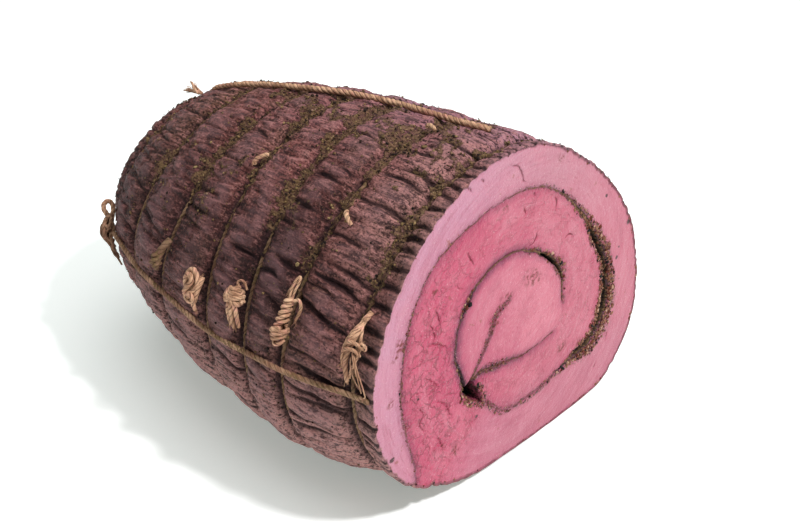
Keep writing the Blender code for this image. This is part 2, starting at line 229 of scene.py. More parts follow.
# %% [markdown]
# ## The crust's relief
#
# The string draws the roll in, so that it bulges between its loops. Across the bulges run
# sharp creases, where the outer layer was squeezed into pleats by the string. They are
# close and deep near the cut end and become broad lumps farther back. A grid of points
# over the whole skin carries this relief. A grid was chosen over sculpting because each
# crease can then be placed by numbers, and over bump alone because it shows in outline.

# %% A grid over the skin
COLUMNS = 720
around = np.linspace(0.0, 360.0, 1441)
room = cut_radius(around) * (1.0 - 0.5 * heap_round(around, 270.0, 34.0))
travelled = np.concatenate(([0.0], np.cumsum((room[1:] + room[:-1]) / 2.0)))
angles = np.interp(np.arange(COLUMNS) / COLUMNS, travelled / travelled[-1], around)

fine_places = np.linspace(0.0, 184.0, 1841)
mean_radius = 70.0 * taper(fine_places, TAPER)
step_out = np.hypot(np.diff(fine_places), np.diff(mean_radius))
run = np.concatenate(([0.0], np.cumsum(step_out)))
near_rim = np.array((0.0, 0.25, 0.6, 1.0, 1.5, 2.1))
SKIN_ROWS = 186
farther = np.interp(np.linspace(3.0, run[-1], SKIN_ROWS), run, fine_places)
places = np.concatenate((near_rim, farther))
place_grid, angle_grid = np.meshgrid(places, angles, indexing="ij")
skin = on_roll(place_grid, angle_grid)


def outward_of(grid):
    """Direction out of a grid of points whose rows run back along the roll."""
    along = np.gradient(grid, axis=0)
    across = np.roll(grid, -1, axis=1) - np.roll(grid, 1, axis=1)
    out = np.cross(across, along)
    return out / np.maximum(np.linalg.norm(out, axis=-1, keepdims=True), 1e-9)


outward = outward_of(skin)
outward *= np.sign(np.sum(outward[40, 0] * np.array((0.0, 1.0, 0.0))))
print("skin grid:", skin.shape[:2], "points")

# %% [markdown]
# Each band between two loops gets its own set of creases. A crease is a line along the
# roll with its own wander, depth and reach. The depth falls off steeply on both sides of
# the line, which leaves rounded pleats with a sharp valley between them.

# %% Creases in each band
BAND_EDGES = (-12.0, 11.0, 38.5, 57.0, 77.5, 107.0, 131.0, 157.0, 200.0)
CREASE_SPACINGS = (5.4, 5.8, 6.6, 7.0, 6.4, 6.0, 5.6, 7.0)
CREASE_DEPTHS = (2.0, 2.3, 1.9, 1.6, 1.4, 1.3, 1.3, 1.2)
arc_grid = np.radians(angle_grid) * 70.0
WHOLE_ARC = 2.0 * pi * 70.0
crease = np.zeros_like(place_grid)
bulge = np.zeros_like(place_grid)
for number, (low, high) in enumerate(zip(BAND_EDGES, BAND_EDGES[1:])):
    rows = (places >= low) & (places < high)
    along = ((places[rows] - low) / (high - low))[:, None]
    bulge[rows] = np.sqrt(np.clip(4.0 * along * (1.0 - along), 0.0, 1.0))
    spacing = CREASE_SPACINGS[number]
    count = int(WHOLE_ARC / spacing)
    starts = (np.arange(count) + chance.uniform(-0.32, 0.32, count)) * WHOLE_ARC / count
    for start in starts:
        wander, phase = chance.uniform(-0.22, 0.22) * spacing, chance.uniform(0.0, 6.28)
        depth = chance.uniform(0.75 if number == 0 else 0.2, 1.0)
        centre, reach = chance.uniform(0.1 if number else 0.7, 0.9), chance.uniform(0.35, 0.9)
        droop = -3.6 * cos(start / 70.0) * (1.0 - along) ** 2 * (number > 0)
        line = start + droop + wander * np.sin(2.6 * along + phase) + 0.35 * np.sin(9.0 * along + phase * 2)
        away = np.abs((arc_grid[rows] - line + WHOLE_ARC / 2) % WHOLE_ARC - WHOLE_ARC / 2)
        width = 0.75 + 0.35 * depth
        fade = heap(along, centre, reach)
        crease[rows] = np.maximum(crease[rows], depth * fade * np.exp(-((away / width) ** 1.25)))
band_depth = np.interp(places, (np.array(BAND_EDGES[:-1]) + np.array(BAND_EDGES[1:])) / 2.0, CREASE_DEPTHS)[:, None]
crease *= 1.0 - heap_round(angle_grid, 270.0, 30.0)
print("creased share of the skin:", round(float((crease > 0.5).mean()), 3))

# %% [markdown]
# Herbs cling to the skin beside the string and in the hollows. How much lies at a spot is
# settled once here, because three things use it: the relief, which is filled up with a
# crumbly crust, the skin's colour, and the loose crumbs scattered later.

# %% Where the herbs lie
from_loop = np.abs(place_grid[..., None] - LOOP_PLACES).min(-1)
patches = rough(skin, 13.0, 3, seed=5)
ragged = rough(skin, 4.0, 3, seed=9)
upper = eased((heap_round(angle_grid, 82.0, 80.0) - 0.15) / 0.55)
crumbling = lumps(skin, 1.5, seed=13)
band_width = 1.3 + 2.0 * upper + 6.5 * patches * upper
herb_band = eased(1.3 - from_loop / np.maximum(band_width, 0.5) + 1.3 * ragged + 0.4 * crumbling)
stray = eased((patches - 0.22 + 0.9 * ragged + 0.3 * crumbling) / 0.3) * (0.2 + 0.8 * upper) * eased((place_grid - 4.0) / 6.0)
haze = 0.42 * heap(from_loop, 0.0, 7.0) * upper * eased((ragged + crumbling) / 0.5)
herbs_here = np.clip(np.maximum.reduce((herb_band * (0.12 + 0.88 * upper), 0.7 * stray, haze)), 0.0, 1.0)
herbs_here *= 1.0 - heap_round(angle_grid, 270.0, 45.0)
print("skin under herbs:", round(float(herbs_here.mean()), 3))

# %% The skin's relief
fissures = 1.0 - np.clip(np.abs(rough(skin * np.array((0.75, 1.0, 1.0)), 14.0, 3, seed=21)) / 0.075, 0.0, 1.0)
back_half = eased((place_grid - 45.0) / 60.0)
streaks = rough(skin * np.array((0.22, 1.0, 1.0)), 1.7, 2, seed=31)
grains = lumps(skin, 1.4, seed=33)
PULLED_IN, NOTCH, NOTCH_REACH = 2.7, 2.6, 1.8
side_wobble = 1.0 + 0.4 * lumps(skin, 17.0, seed=3)
folds = 0.0
flat_skin = skin * np.array((0.0, 1.0, 1.0))
near_folds = heap_round(angle_grid, 158.0, 50.0)
for number, (fold_place, fold_depth) in enumerate(((163.5, 1.4), (169.5, 1.7), (175.5, 1.3), (180.0, 0.8))):
    wavy = fold_place + (1.2 + 2.6 * (1.0 - near_folds)) * lumps(flat_skin, 15.0, seed=41 + number)
    comes_and_goes = eased(0.35 + 1.6 * rough(flat_skin, 19.0, 2, seed=45 + number))
    lasting = near_folds + (1.0 - near_folds) * 0.8 * comes_and_goes
    folds = np.maximum(folds, fold_depth * lasting * np.exp(-((np.abs(place_grid - wavy) / 1.1) ** 1.3)))
relief = -0.3 - PULLED_IN * (1.0 - bulge)
relief -= NOTCH * side_wobble * np.exp(-((from_loop / NOTCH_REACH) ** 2))
relief -= band_depth * crease * (0.45 + 0.55 * eased(place_grid / 3.0))
relief -= (0.4 + 0.15 * back_half) * fissures * (1.0 - 0.5 * heap(from_loop, 0.0, 4.0))
relief -= folds
relief += 0.85 * rough(skin, 12.0, 3, seed=11) - 0.3
relief += (0.38 + 0.2 * back_half) * streaks + 0.22 * grains
herb_depth = 0.45 + 0.7 * lumps(skin, 2.1, seed=51) + 0.5 * lumps(skin, 1.1, seed=53)
relief += herbs_here * herb_depth
filled = -2.75 + 0.9 * ragged + 0.5 * herb_depth
packed = upper * herb_band * np.exp(-((from_loop / 2.4) ** 4))
relief = np.maximum(relief, relief + (filled - relief) * packed)
relief *= 0.42 + 0.58 * eased(place_grid / 6.0)
relief -= 0.75 * np.clip(lumps(flat_skin, 2.2, seed=73) + 0.5 * ragged + 0.1, 0.0, 1.0) * heap(place_grid, 0.0, 2.2)
relief = np.minimum(relief, -0.02)
seam_angle = 227.0
seam_away = np.abs(angle_grid - seam_angle - 2.0 * np.sin(place_grid / 21.0)) * np.pi / 180.0 * 70.0
seam = np.exp(-((seam_away / 1.0) ** 1.3)) * eased((166.0 - place_grid) / 12.0)
relief -= 2.2 * seam
on_board = eased(1.0 - skin[..., 2] / 5.0)
relief = relief * (1.0 - on_board)
rounding = 0.7 * (1.0 - np.clip(place_grid / 1.3, 0.0, 1.0)) ** 2
crust = skin + outward * (relief - rounding * (1.0 - on_board))[..., None]
under = on_board * (0.15 + 0.25 * rough(skin, 6.0, 2, seed=61) + 1.2 * heap(from_loop, 0.0, 1.6))
crust[..., 2] = np.maximum(crust[..., 2], 0.0) + np.clip(under, 0.0, None) * (on_board > 0)
crust[0, :, 0] = 0.35 + 0.2 * rough(skin[0], 3.0, 2, seed=71)
crust[1:6, :, 0] = np.maximum(crust[1:6, :, 0], 0.2)
crust[..., 0] = np.minimum(crust[..., 0], 183.9)
print("relief in mm: from", round(float(relief.min()), 2), "to", round(float(relief.max()), 2))

# %% [markdown]
# ## The cut face
#
# The cut shows how the roll was made. One long line of herbs starts at the seam in the
# lower left, goes once round clockwise and ends in an open hole beside the core. From
# there, short lines run over the core, under it and into a fold of it. The lines are the
# same ones that the herb layers' solids follow. Each has its own width along its length:
# nearly closed on the left and heaped with herbs in the right-hand bend.

# %% The lines of herbs in the cut, as (across, height) in mm
OUTER_LINE = ((-51.8, 7.0), (-53.2, 16.0), (-54.6, 26.0), (-58.6, 42.0), (-60.8, 60.0), (-57.0, 81.0),
              (-46.0, 97.0), (-28.0, 104.6), (-8.0, 107.2), (9.0, 103.6), (25.0, 92.4), (38.5, 76.5),
              (49.0, 58.5), (51.5, 42.0), (46.0, 28.5), (31.0, 24.6), (12.0, 20.8), (-6.5, 22.2),
              (-19.0, 32.0))
OVER_CORE = ((-29.6, 43.0), (-30.8, 46.5), (-35.0, 60.0), (-31.5, 73.5), (-20.0, 84.2), (-5.0, 85.2),
             (9.0, 78.4), (20.5, 68.0), (24.0, 53.0))
UNDER_CORE = ((-24.6, 44.4), (-20.8, 45.8), (-12.0, 43.8), (0.0, 41.4), (11.0, 40.9), (19.5, 42.2))
CORE_FOLD = ((-26.0, 44.8), (-23.6, 49.0), (-18.2, 57.6), (-14.6, 65.0), (-8.0, 68.2))
HOLE = np.array(((-26.3, 45.6), (-30.6, 42.4), (-26.9, 37.2), (-20.2, 32.8), (-21.6, 37.8)))
# At distances along each line in mm: half the opening, how far crumbs reach and how many lie there
OUTER_OPEN = ((0, 0.25, 0.9, 0.3), (30, 0.16, 0.7, 0.55), (60, 0.12, 0.7, 0.75), (90, 0.1, 0.7, 0.7),
              (125, 0.08, 0.8, 0.35), (150, 0.22, 0.9, 0.5), (172, 0.34, 1.0, 0.7), (186, 0.7, 1.5, 0.9),
              (196, 1.4, 2.4, 1.0), (208, 1.7, 2.6, 1.0), (216, 1.3, 2.4, 1.0), (224, 2.1, 3.4, 1.0),
              (240, 2.7, 4.6, 1.0), (252, 1.7, 4.0, 1.0), (260, 0.6, 2.0, 0.85), (270, 0.22, 1.4, 0.7),
              (300, 0.14, 1.5, 0.75), (330, 0.14, 1.5, 0.8), (360, 0.4, 2.2, 0.9))
OVER_OPEN = ((0, 0.9, 2.2, 0.5), (6, 0.55, 0.9, 0.4), (14, 0.35, 0.7, 0.4), (28, 0.22, 0.7, 0.5),
             (33, 0.55, 1.2, 0.9), (37, 0.5, 1.2, 0.8), (44, 0.15, 0.6, 0.2), (62, 0.16, 0.6, 0.25), (72, 0.3, 1.2, 0.7),
             (80, 0.7, 1.2, 0.6), (86, 1.0, 1.6, 0.55), (94, 0.8, 2.8, 0.7), (102, 0.3, 1.4, 0.4), (114, 0.1, 1.0, 0.5))
UNDER_OPEN = ((0, 0.25, 1.0, 0.3), (8, 0.12, 2.0, 0.8), (16, 0.1, 1.6, 0.75), (30, 0.08, 1.0, 0.35), (46, 0.06, 1.0, 0.2))
FOLD_OPEN = ((0, 0.2, 1.0, 0.4), (8, 0.12, 1.6, 0.6), (20, 0.1, 1.8, 0.75), (30, 0.08, 1.8, 0.5))


# At distances along a line in mm: how empty of herbs the inner side of its opening is
EMPTY = {"outer": ((0, 0), (190, 0), (196, 1), (212, 1), (217, 0.15), (223, 0.15), (228, 1), (251, 1), (258, 0), (360, 0)),
         "over": ((0, 1), (31, 1), (36, 0.3), (42, 0), (78, 0), (84, 1), (96, 1), (101, 0)),
         "under": ((0, 0), (50, 0)), "fold": ((0, 0), (50, 0))}


def dense(spots, step=0.25):
    """Points every step mm on a smooth curve through the spots, with the distance along it."""
    spots = np.array(spots, float)
    ends = np.vstack((2 * spots[0] - spots[1], spots, 2 * spots[-1] - spots[-2]))
    share = np.linspace(0.0, 1.0, 40, endpoint=False)[:, None]
    pieces = []
    for number in range(len(spots) - 1):
        a, b, c, d = ends[number:number + 4]
        pieces.append(0.5 * (2 * b + (c - a) * share + (2 * a - 5 * b + 4 * c - d) * share ** 2
                             + (3 * b - a - 3 * c + d) * share ** 3))
    curve = np.vstack(pieces + [spots[-1:]])
    length = np.concatenate(([0.0], np.cumsum(np.linalg.norm(np.diff(curve, axis=0), axis=1))))
    at = np.arange(0.0, length[-1], step)
    return np.stack([np.interp(at, length, curve[:, axis]) for axis in range(curve.shape[1])], 1), at


herb_lines = {}
for name, spots, opening in (("outer", OUTER_LINE, OUTER_OPEN), ("over", OVER_CORE, OVER_OPEN),
                             ("under", UNDER_CORE, UNDER_OPEN), ("fold", CORE_FOLD, FOLD_OPEN)):
    line, at = dense(spots)
    ahead = np.gradient(line, axis=0)
    ahead /= np.linalg.norm(ahead, axis=1, keepdims=True)
    aside = np.stack((-ahead[:, 1], ahead[:, 0]), 1)
    flat = np.concatenate((line, np.zeros((len(line), 1))), 1)
    line = line + aside * (0.5 * rough(flat, 7.0, 3, seed=81) + 0.22 * lumps(flat, 1.8, seed=83))[:, None]
    opening = np.array(opening).T
    half, reach, amount = (np.interp(at, opening[0], opening[column]) for column in (1, 2, 3))
    half = half * (1.0 + 0.4 * rough(flat, 5.0, 3, seed=85))
    emptied = np.array(EMPTY[name]).T
    herb_lines[name] = {"line": line, "at": at, "half": np.maximum(half, 0.05), "aside": aside,
                        "reach": reach, "amount": amount, "empty": np.interp(at, emptied[0], emptied[1]),
                        "gap_to": np.where((name == "outer") & (at > 222.0), 0.85, 0.6)}
print("line lengths in mm:", {name: round(float(line["at"][-1])) for name, line in herb_lines.items()})

# %% [markdown]
# The face is a grid of rings and spokes that shares its outermost ring with the skin, so
# the crust turns the corner with no gap. Points that fall close to the edge of a slit are
# moved onto it, which keeps the edge clean, and the points inside a slit drop back.

# %% Rings and spokes of the cut face
CUT_RINGS = 124
shares = np.linspace(1.0, 0.03, CUT_RINGS + 1)[1:]
middle = np.array((0.0, AXIS_HEIGHT))
face = middle + (crust[0, :, 1:] - middle) * shares[:, None, None]


def polygon_distance(points, corners):
    """Distance to a closed outline, below 0 inside it."""
    inside = np.zeros(points.shape[:-1], bool)
    nearest = np.full(points.shape[:-1], 1e9)
    for start, end in zip(corners, np.roll(corners, -1, axis=0)):
        side = end - start
        share = np.clip(((points - start) @ side) / (side @ side), 0.0, 1.0)
        nearest = np.minimum(nearest, np.linalg.norm(points - start - share[..., None] * side, axis=-1))
        crosses = (start[1] > points[..., 1]) != (end[1] > points[..., 1])
        meets = (end[0] - start[0]) * (points[..., 1] - start[1]) / (end[1] - start[1] + 1e-12) + start[0]
        inside ^= crosses & (points[..., 0] < meets)
    return np.where(inside, -nearest, nearest)


def nearest_on(line, points):
    """Number of the line's nearest point and the distance to it, for each of the points."""
    tree = KDTree(len(line))
    for number, point in enumerate(line):
        tree.insert((point[0], point[1], 0.0), number)
    tree.balance()
    found = [tree.find((across, height, 0.0))[1:] for across, height in points.reshape(-1, 2)]
    number, distance = np.array(found).T
    return number.reshape(points.shape[:-1]).astype(int), distance.reshape(points.shape[:-1])


away = np.full(face.shape[:-1], 50.0)
nearest = np.zeros_like(face)
crumbly = np.zeros_like(away)
openness = np.zeros_like(away)
hollow_here = np.zeros_like(away)
line_away = {}
for name, parts in herb_lines.items():
    number, distance = nearest_on(parts["line"], face)
    here = parts["line"][number]
    sideways = np.sum((face - here) * parts["aside"][number], axis=-1)
    outer_side = sideways > 0.0
    reach = parts["reach"][number] * np.where(outer_side, 1.25, 0.7)
    crumbly = np.maximum(crumbly, parts["amount"][number] * np.exp(-((np.maximum(distance - parts["half"][number], 0.0) / reach) ** 2)))
    edge = distance - parts["half"][number]
    closer = edge < away
    nearest[closer] = here[closer]
    openness[closer] = np.clip(parts["half"][number] / 0.35, 0.0, 1.0)[closer]
    inner_part = eased((parts["gap_to"][number] - sideways / parts["half"][number]) / 0.35)
    hollow_here[closer] = (parts["empty"][number] * inner_part)[closer]
    away = np.minimum(away, edge)
    line_away[name] = distance
SNAP = 0.24
off = face - nearest
off /= np.maximum(np.linalg.norm(off, axis=-1, keepdims=True), 1e-6)
snapped = (np.abs(away) < SNAP) & (shares[:, None] < 0.985)
face = np.where(snapped[..., None], face - off * away[..., None], face)
away = np.where(snapped, 0.0, away)
print("points moved onto a slit's edge:", int(snapped.sum()), "inside a slit:", int((away < 0).sum()))

# %% [markdown]
# The turns of meat have their own colours: the outer turn is pale, the second turn deeper
# and the core between them. Which turn a point lies in follows from its radius against the
# radius of the herb line at the same angle, so both are worked out here.

# %% Which turn each point lies in
def by_angle(line, start):
    """Radius of a line round the roll's middle, by angle in degrees counted up from start."""
    away_from_middle = line - middle
    angle = (np.degrees(np.arctan2(away_from_middle[:, 1], away_from_middle[:, 0])) - start) % 360.0
    order = np.argsort(angle)
    return angle[order], np.linalg.norm(away_from_middle, axis=1)[order]


face_away = face - middle
face_radius = np.linalg.norm(face_away, axis=-1)
face_angle = np.degrees(np.arctan2(face_away[..., 1], face_away[..., 0]))
FLAP_ANGLE = 221.0
outer_angle, outer_radius = by_angle(herb_lines["outer"]["line"], FLAP_ANGLE)
past_flap = (face_angle - FLAP_ANGLE) % 360.0
outside = eased((face_radius - np.interp(past_flap, outer_angle, outer_radius)) / 0.8 + 0.5)
outside *= np.maximum(eased(past_flap / 34.0), (past_flap > 180.0) * 1.0)
core_ring = np.vstack((herb_lines["over"]["line"], herb_lines["under"]["line"]))
core_angle, core_radius = by_angle(core_ring, 0.0)
inside_core = eased((np.interp(face_angle % 360.0, core_angle, core_radius, period=360.0) - face_radius) / 1.2 + 0.5)
pale = outside * (0.3 + 0.7 * eased((np.cos(np.radians(face_angle - 135.0)) + 0.7) / 1.3))
print("shares of the cut: outer turn", round(float(outside.mean()), 2), "core", round(float(inside_core.mean()), 2))

# %% [markdown]
# Roast meat cracks as it dries. Short zigzag cracks cross the outer turn and the second
# turn is covered by a loose network of them, mostly on its left. Each crack is a line of a
# few points, partly listed and partly placed by chance, cut into the face as a groove.

# %% Cracks in the cut face
CRACKS = [
    ((-12.8, 118.6), (-8.6, 117.4), (-6.4, 115.4), (-5.1, 112.5), (-3.3, 110.1), (-0.4, 108.3)),
    ((-32.6, 119.1), (-30.7, 117.1), (-29.1, 115.2)), ((-26.0, 118.5), (-23.5, 116.9)),
    ((2.0, 104.4), (2.9, 102.2)), ((13.7, 99.0), (15.3, 96.2), (14.9, 93.0)), ((-3.0, 101.1), (-1.6, 97.6)),
    ((5.3, 89.0), (4.0, 85.7), (0.7, 85.1)), ((21.4, 79.5), (24.3, 80.3), (27.6, 77.9)),
    ((-31.0, 96.2), (-28.8, 91.7), (-27.0, 88.9)), ((-42.9, 84.1), (-45.2, 81.5), (-43.6, 76.4), (-46.2, 74.0)),
    ((-49.6, 70.7), (-42.3, 66.9), (-37.8, 62.1)), ((-51.7, 59.2), (-46.4, 55.4), (-40.3, 47.6)),
    ((-55.4, 50.7), (-50.4, 44.9), (-51.9, 40.7), (-45.9, 34.3)), ((-45.4, 34.9), (-42.3, 29.1), (-38.9, 21.7)),
    ((-45.7, 47.3), (-39.0, 41.4), (-36.2, 33.8)), ((-48.8, 78.5), (-45.9, 72.8), (-46.7, 67.4)),
    ((56.4, 25.3), (55.5, 20.9)), ((50.6, 13.9), (48.4, 10.3)),
]
CRACKS_BY_HAND = len(CRACKS)
for _ in range(46):
    turn = radians(chance.normal(194.0, 36.0))
    reach = chance.uniform(37.0, 58.0)
    spot = np.array((reach * cos(turn), AXIS_HEIGHT + reach * sin(turn)))
    heading = chance.uniform(0.0, 2.0 * pi)
    crack = [spot]
    for _ in range(chance.integers(2, 5)):
        heading += chance.uniform(-1.3, 1.3)
        crack.append(crack[-1] + chance.uniform(1.0, 2.8) * np.array((cos(heading), sin(heading))))
    CRACKS.append(crack)
crack_points, crack_strength = [], []
for crack in CRACKS:
    line, at = dense(crack, 0.3)
    flat = np.concatenate((line, np.zeros((len(line), 1))), 1)
    crack_points.append(line + 0.35 * np.stack((lumps(flat, 1.5, seed=91), lumps(flat, 1.5, seed=92)), 1))
    by_hand = len(crack_strength) < CRACKS_BY_HAND
    crack_strength.append((0.9 if by_hand else 0.55) * (0.25 + 0.75 * np.sin(pi * np.clip(at / at[-1], 0.0, 1.0))))
crack_number, crack_away = nearest_on(np.concatenate(crack_points), face)
crack_strong = np.concatenate(crack_strength)[crack_number]
cracked = crack_strong * np.exp(-((crack_away / 0.38) ** 1.5)) * (away > 0.3)
print("cracks:", len(CRACKS))

# %% Relief of the cut face
face_flat = np.concatenate((np.zeros(face.shape[:-1] + (1,)), face), -1)
hole_away = polygon_distance(face, HOLE) + 0.4 * lumps(face_flat, 1.6, seed=95)
crumbly = np.maximum(crumbly, 0.8 * np.exp(-((np.maximum(hole_away, 0.0) / 2.6) ** 2)) * (face[..., 1] < 42.0))
crumbly *= away > 0.0
rim_away = (1.0 - shares[:, None]) * np.linalg.norm(crust[0, :, 1:] - middle, axis=-1)[None, :]
near_core = np.exp(-np.minimum(line_away["over"], line_away["under"]) / 1.8)
shoulder = np.exp(-np.maximum(away, 0.0) / 1.3)
back = 0.55 + 0.24 * rough(face_flat, 16.0, 2, seed=97) + 0.06 * rough(face_flat, 1.4, 2, seed=98)
back += 0.35 * shoulder + 0.35 * near_core + 0.45 * cracked
back -= crumbly * (0.12 + 0.3 * np.abs(lumps(face_flat, 1.1, seed=96)))
back += 0.45 * np.clip(1.0 - rim_away / 1.2, 0.0, 1.0) ** 2
drop = eased(-away / 0.15) * (away < 0.0)
back = np.where(away < 0.0, back + 5.0 * drop, back)
hole_deep = 5.0 + 19.0 * np.clip(-hole_away / 2.2, 0.0, 1.0)
back = np.where(hole_away < 0.0, np.maximum(back, hole_deep), back + 0.5 * np.exp(-np.maximum(hole_away, 0.0) / 1.2))
back = np.maximum(back, 0.06)
cut_grid = np.concatenate((back[..., None], face), -1)
print("cut face lies", round(float(np.median(back)), 2), "mm behind the solid's face, the hole", round(float(back.max()), 1))

# %% The far end, closed by rings
cap_shares = np.linspace(1.0, 0.05, 17)[1:]
end_middle = crust[-1, :, 1:].mean(0)
cap = end_middle + (crust[-1, :, 1:] - end_middle) * cap_shares[:, None, None]
cap_flat = np.concatenate((np.zeros(cap.shape[:-1] + (1,)), cap), -1)
turned = np.radians(angles)[None, :] + 1.1 * lumps(cap_flat, 16.0, seed=103)
puckers = (0.5 + 0.5 * np.cos(7.0 * turned + 3.0 * cap_shares[:, None])) * (0.4 + 0.6 * eased(0.5 + rough(cap_flat, 12.0, 2, seed=105)))
cap_back = 183.9 - 2.2 * (1.0 - cap_shares[:, None]) * puckers - 1.1 * np.abs(rough(cap_flat, 7.0, 3, seed=99))
cap_grid = np.concatenate((cap_back[..., None], cap), -1)
print("cap rings:", len(cap_shares))

# %% [markdown]
# ## One mesh for the meat
#
# The far end, the skin and the cut face are one closed body, as the joint itself is. Its
# points also carry what they know about themselves, such as how many herbs lie there or
# how far the nearest slit is. The finish reads those values by name, so that colours and
# shapes agree.

# %% Build a mesh from arrays
def build(name, points, faces, finishes, replaced=(), values=None, face_finish=None):
    """A smooth mesh from points in metres and arrays of faces with equal numbers of sides."""
    mesh = bpy.data.meshes.new(name)
    corners = np.concatenate([group.ravel() for group in faces]).astype(np.int32)
    sides = np.concatenate([np.full(len(group), group.shape[1]) for group in faces]).astype(np.int32)
    mesh.vertices.add(len(points))
    mesh.vertices.foreach_set("co", np.asarray(points, np.float32).ravel())
    mesh.loops.add(len(corners))
    mesh.loops.foreach_set("vertex_index", corners)
    mesh.polygons.add(len(sides))
    mesh.polygons.foreach_set("loop_start", np.concatenate(([0], np.cumsum(sides)[:-1])).astype(np.int32))
    mesh.update(calc_edges=True)
    mesh.shade_smooth()
    for key, value in (values or {}).items():
        attribute = mesh.attributes.new(key, "FLOAT", "POINT")
        attribute.data.foreach_set("value", np.asarray(value, np.float32).ravel())
    for finish in finishes:
        mesh.materials.append(finish)
    if face_finish is not None:
        mesh.polygons.foreach_set("material_index", np.asarray(face_finish, np.int32))
    mesh.validate()
    piece = bpy.data.objects.new(name, mesh)
    bpy.context.scene.collection.objects.link(piece)
    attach(piece, "root")
    if replaced:
        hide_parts(*replaced)
    triangles = int((sides - 2).sum())
    print(name, "points", len(points), "triangles", triangles)
    return piece


def grid_faces(rows, columns, first=0, closed=True):
    """Four-sided faces between the rows of a grid that goes all the way round, or doesn't."""
    row, column = np.meshgrid(np.arange(rows - 1), np.arange(columns if closed else columns - 1), indexing="ij")
    after = (column + 1) % columns
    faces = np.stack((row * columns + column, row * columns + after,
                      (row + 1) * columns + after, (row + 1) * columns + column), -1)
    return faces.reshape(-1, 4) + first

# %% [markdown]
# ## Shader maths as expressions
#
# Every finish below is worked out from the place on the surface and from the values that
# the mesh carries. Writing that as sums keeps it readable, so one small class stands for
# a varying value and lays a maths node for each operator.

# %% A varying value
class Field:
    """A value or a colour that varies over the surface."""

    def __init__(self, tree, socket=None):
        self.tree = tree
        self.socket = socket

    def node(self, kind, settings=(), sockets=(), output=0):
        """Any node, from its type, its settings and the values or links of its sockets."""
        made = self.tree.nodes.new(kind)
        for key, value in dict(settings).items():
            if key == "stops":
                while len(made.color_ramp.elements) < len(value):
                    made.color_ramp.elements.new(0.5)
                for stop, (place, colour) in zip(made.color_ramp.elements, value):
                    stop.position, stop.color = place, colour
            else:
                setattr(made, key, value)
        for key, value in dict(sockets).items():
            if isinstance(value, Field):
                self.tree.links.new(value.socket, made.inputs[key])
            else:
                made.inputs[key].default_value = value
        return Field(self.tree, made.outputs[output])

    def maths(self, operation, first, second=0.0):
        return self.node("ShaderNodeMath", {"operation": operation}, {0: first, 1: second})

    def __add__(self, other):
        return self.maths("ADD", self, other)

    __radd__ = __add__

    def __sub__(self, other):
        return self.maths("SUBTRACT", self, other)

    def __rsub__(self, other):
        return self.maths("SUBTRACT", other, self)

    def __mul__(self, other):
        return self.maths("MULTIPLY", self, other)

    __rmul__ = __mul__

    def most(self, other):
        return self.maths("MAXIMUM", self, other)

    def least(self, other):
        return self.maths("MINIMUM", self, other)

    def between(self, low, high):
        """0 where this is at low, 1 where it's at high and smooth between."""
        return self.node("ShaderNodeMapRange", {"interpolation_type": "SMOOTHSTEP"},
                         {"Value": self, "From Min": low, "From Max": high})

    def mixed(self, first, second, blend="MIX"):
        """The first colour where this is 0 and the second where it's 1."""
        return self.node("ShaderNodeMix", {"data_type": "RGBA", "blend_type": blend},
                         {0: self, 6: first, 7: second}, 2)

    def stretched(self, along, across=1.0, up=1.0):
        return self.node("ShaderNodeVectorMath", {"operation": "MULTIPLY"}, {0: self, 1: (along, across, up)})

    def noise(self, size, detail=3.0, roughness=0.55, warp=0.0):
        """Lumps of about this size in mm."""
        return self.node("ShaderNodeTexNoise", {}, {"Vector": self, "Scale": 1000.0 / size, "Detail": detail,
                                                    "Roughness": roughness, "Distortion": warp})

    def cells(self, size, feature="F1", output=0, random=1.0):
        """Distance to the nearest cell, with cells of about this size in mm."""
        return self.node("ShaderNodeTexVoronoi", {"feature": feature},
                         {"Vector": self, "Scale": 1000.0 / size, "Randomness": random}, output)

    def carried(self, name):
        """A value that the mesh carries at its points."""
        return self.node("ShaderNodeAttribute", {"attribute_name": name}, {}, 2)

    def bumped(self, height, strength=0.5, first=None):
        """A surface direction that is tilted by this height in mm."""
        sockets = {"Height": self, "Strength": strength, "Distance": height * MM}
        if first is not None:
            sockets["Normal"] = first
        return self.node("ShaderNodeBump", {}, sockets)


def tone(red, green, blue, light=1.0):
    """A colour from 0 to 255 a channel, as seen under this much light, as Blender's linear colour."""
    share = np.array((red, green, blue)) / 255.0
    linear = np.where(share <= 0.04045, share / 12.92, ((share + 0.055) / 1.055) ** 2.4) / light
    return tuple(linear.tolist()) + (1.0,)


def cut_tone(red, green, blue, sheen=0.05):
    """A colour of the cut face, which faces the main light and has a faint white sheen."""
    seen = np.array(tone(red, green, blue)[:3])
    return tuple((np.maximum(seen - sheen, 0.012) / 1.38).tolist()) + (1.0,)


def new_finish(name, constants):
    """A material, its shader and the place on the surface in metres."""
    material = bpy.data.materials.new(name)
    material.use_nodes = True
    shader = material.node_tree.nodes["Principled BSDF"]
    for key, value in constants.items():
        shader.inputs[key].default_value = value
    spot = Field(material.node_tree).node("ShaderNodeTexCoord", output=3)
    return material, shader, spot


def joined_up(shader, **inputs):
    for key, value in inputs.items():
        value.tree.links.new(value.socket, shader.inputs[key.replace("_", " ")])
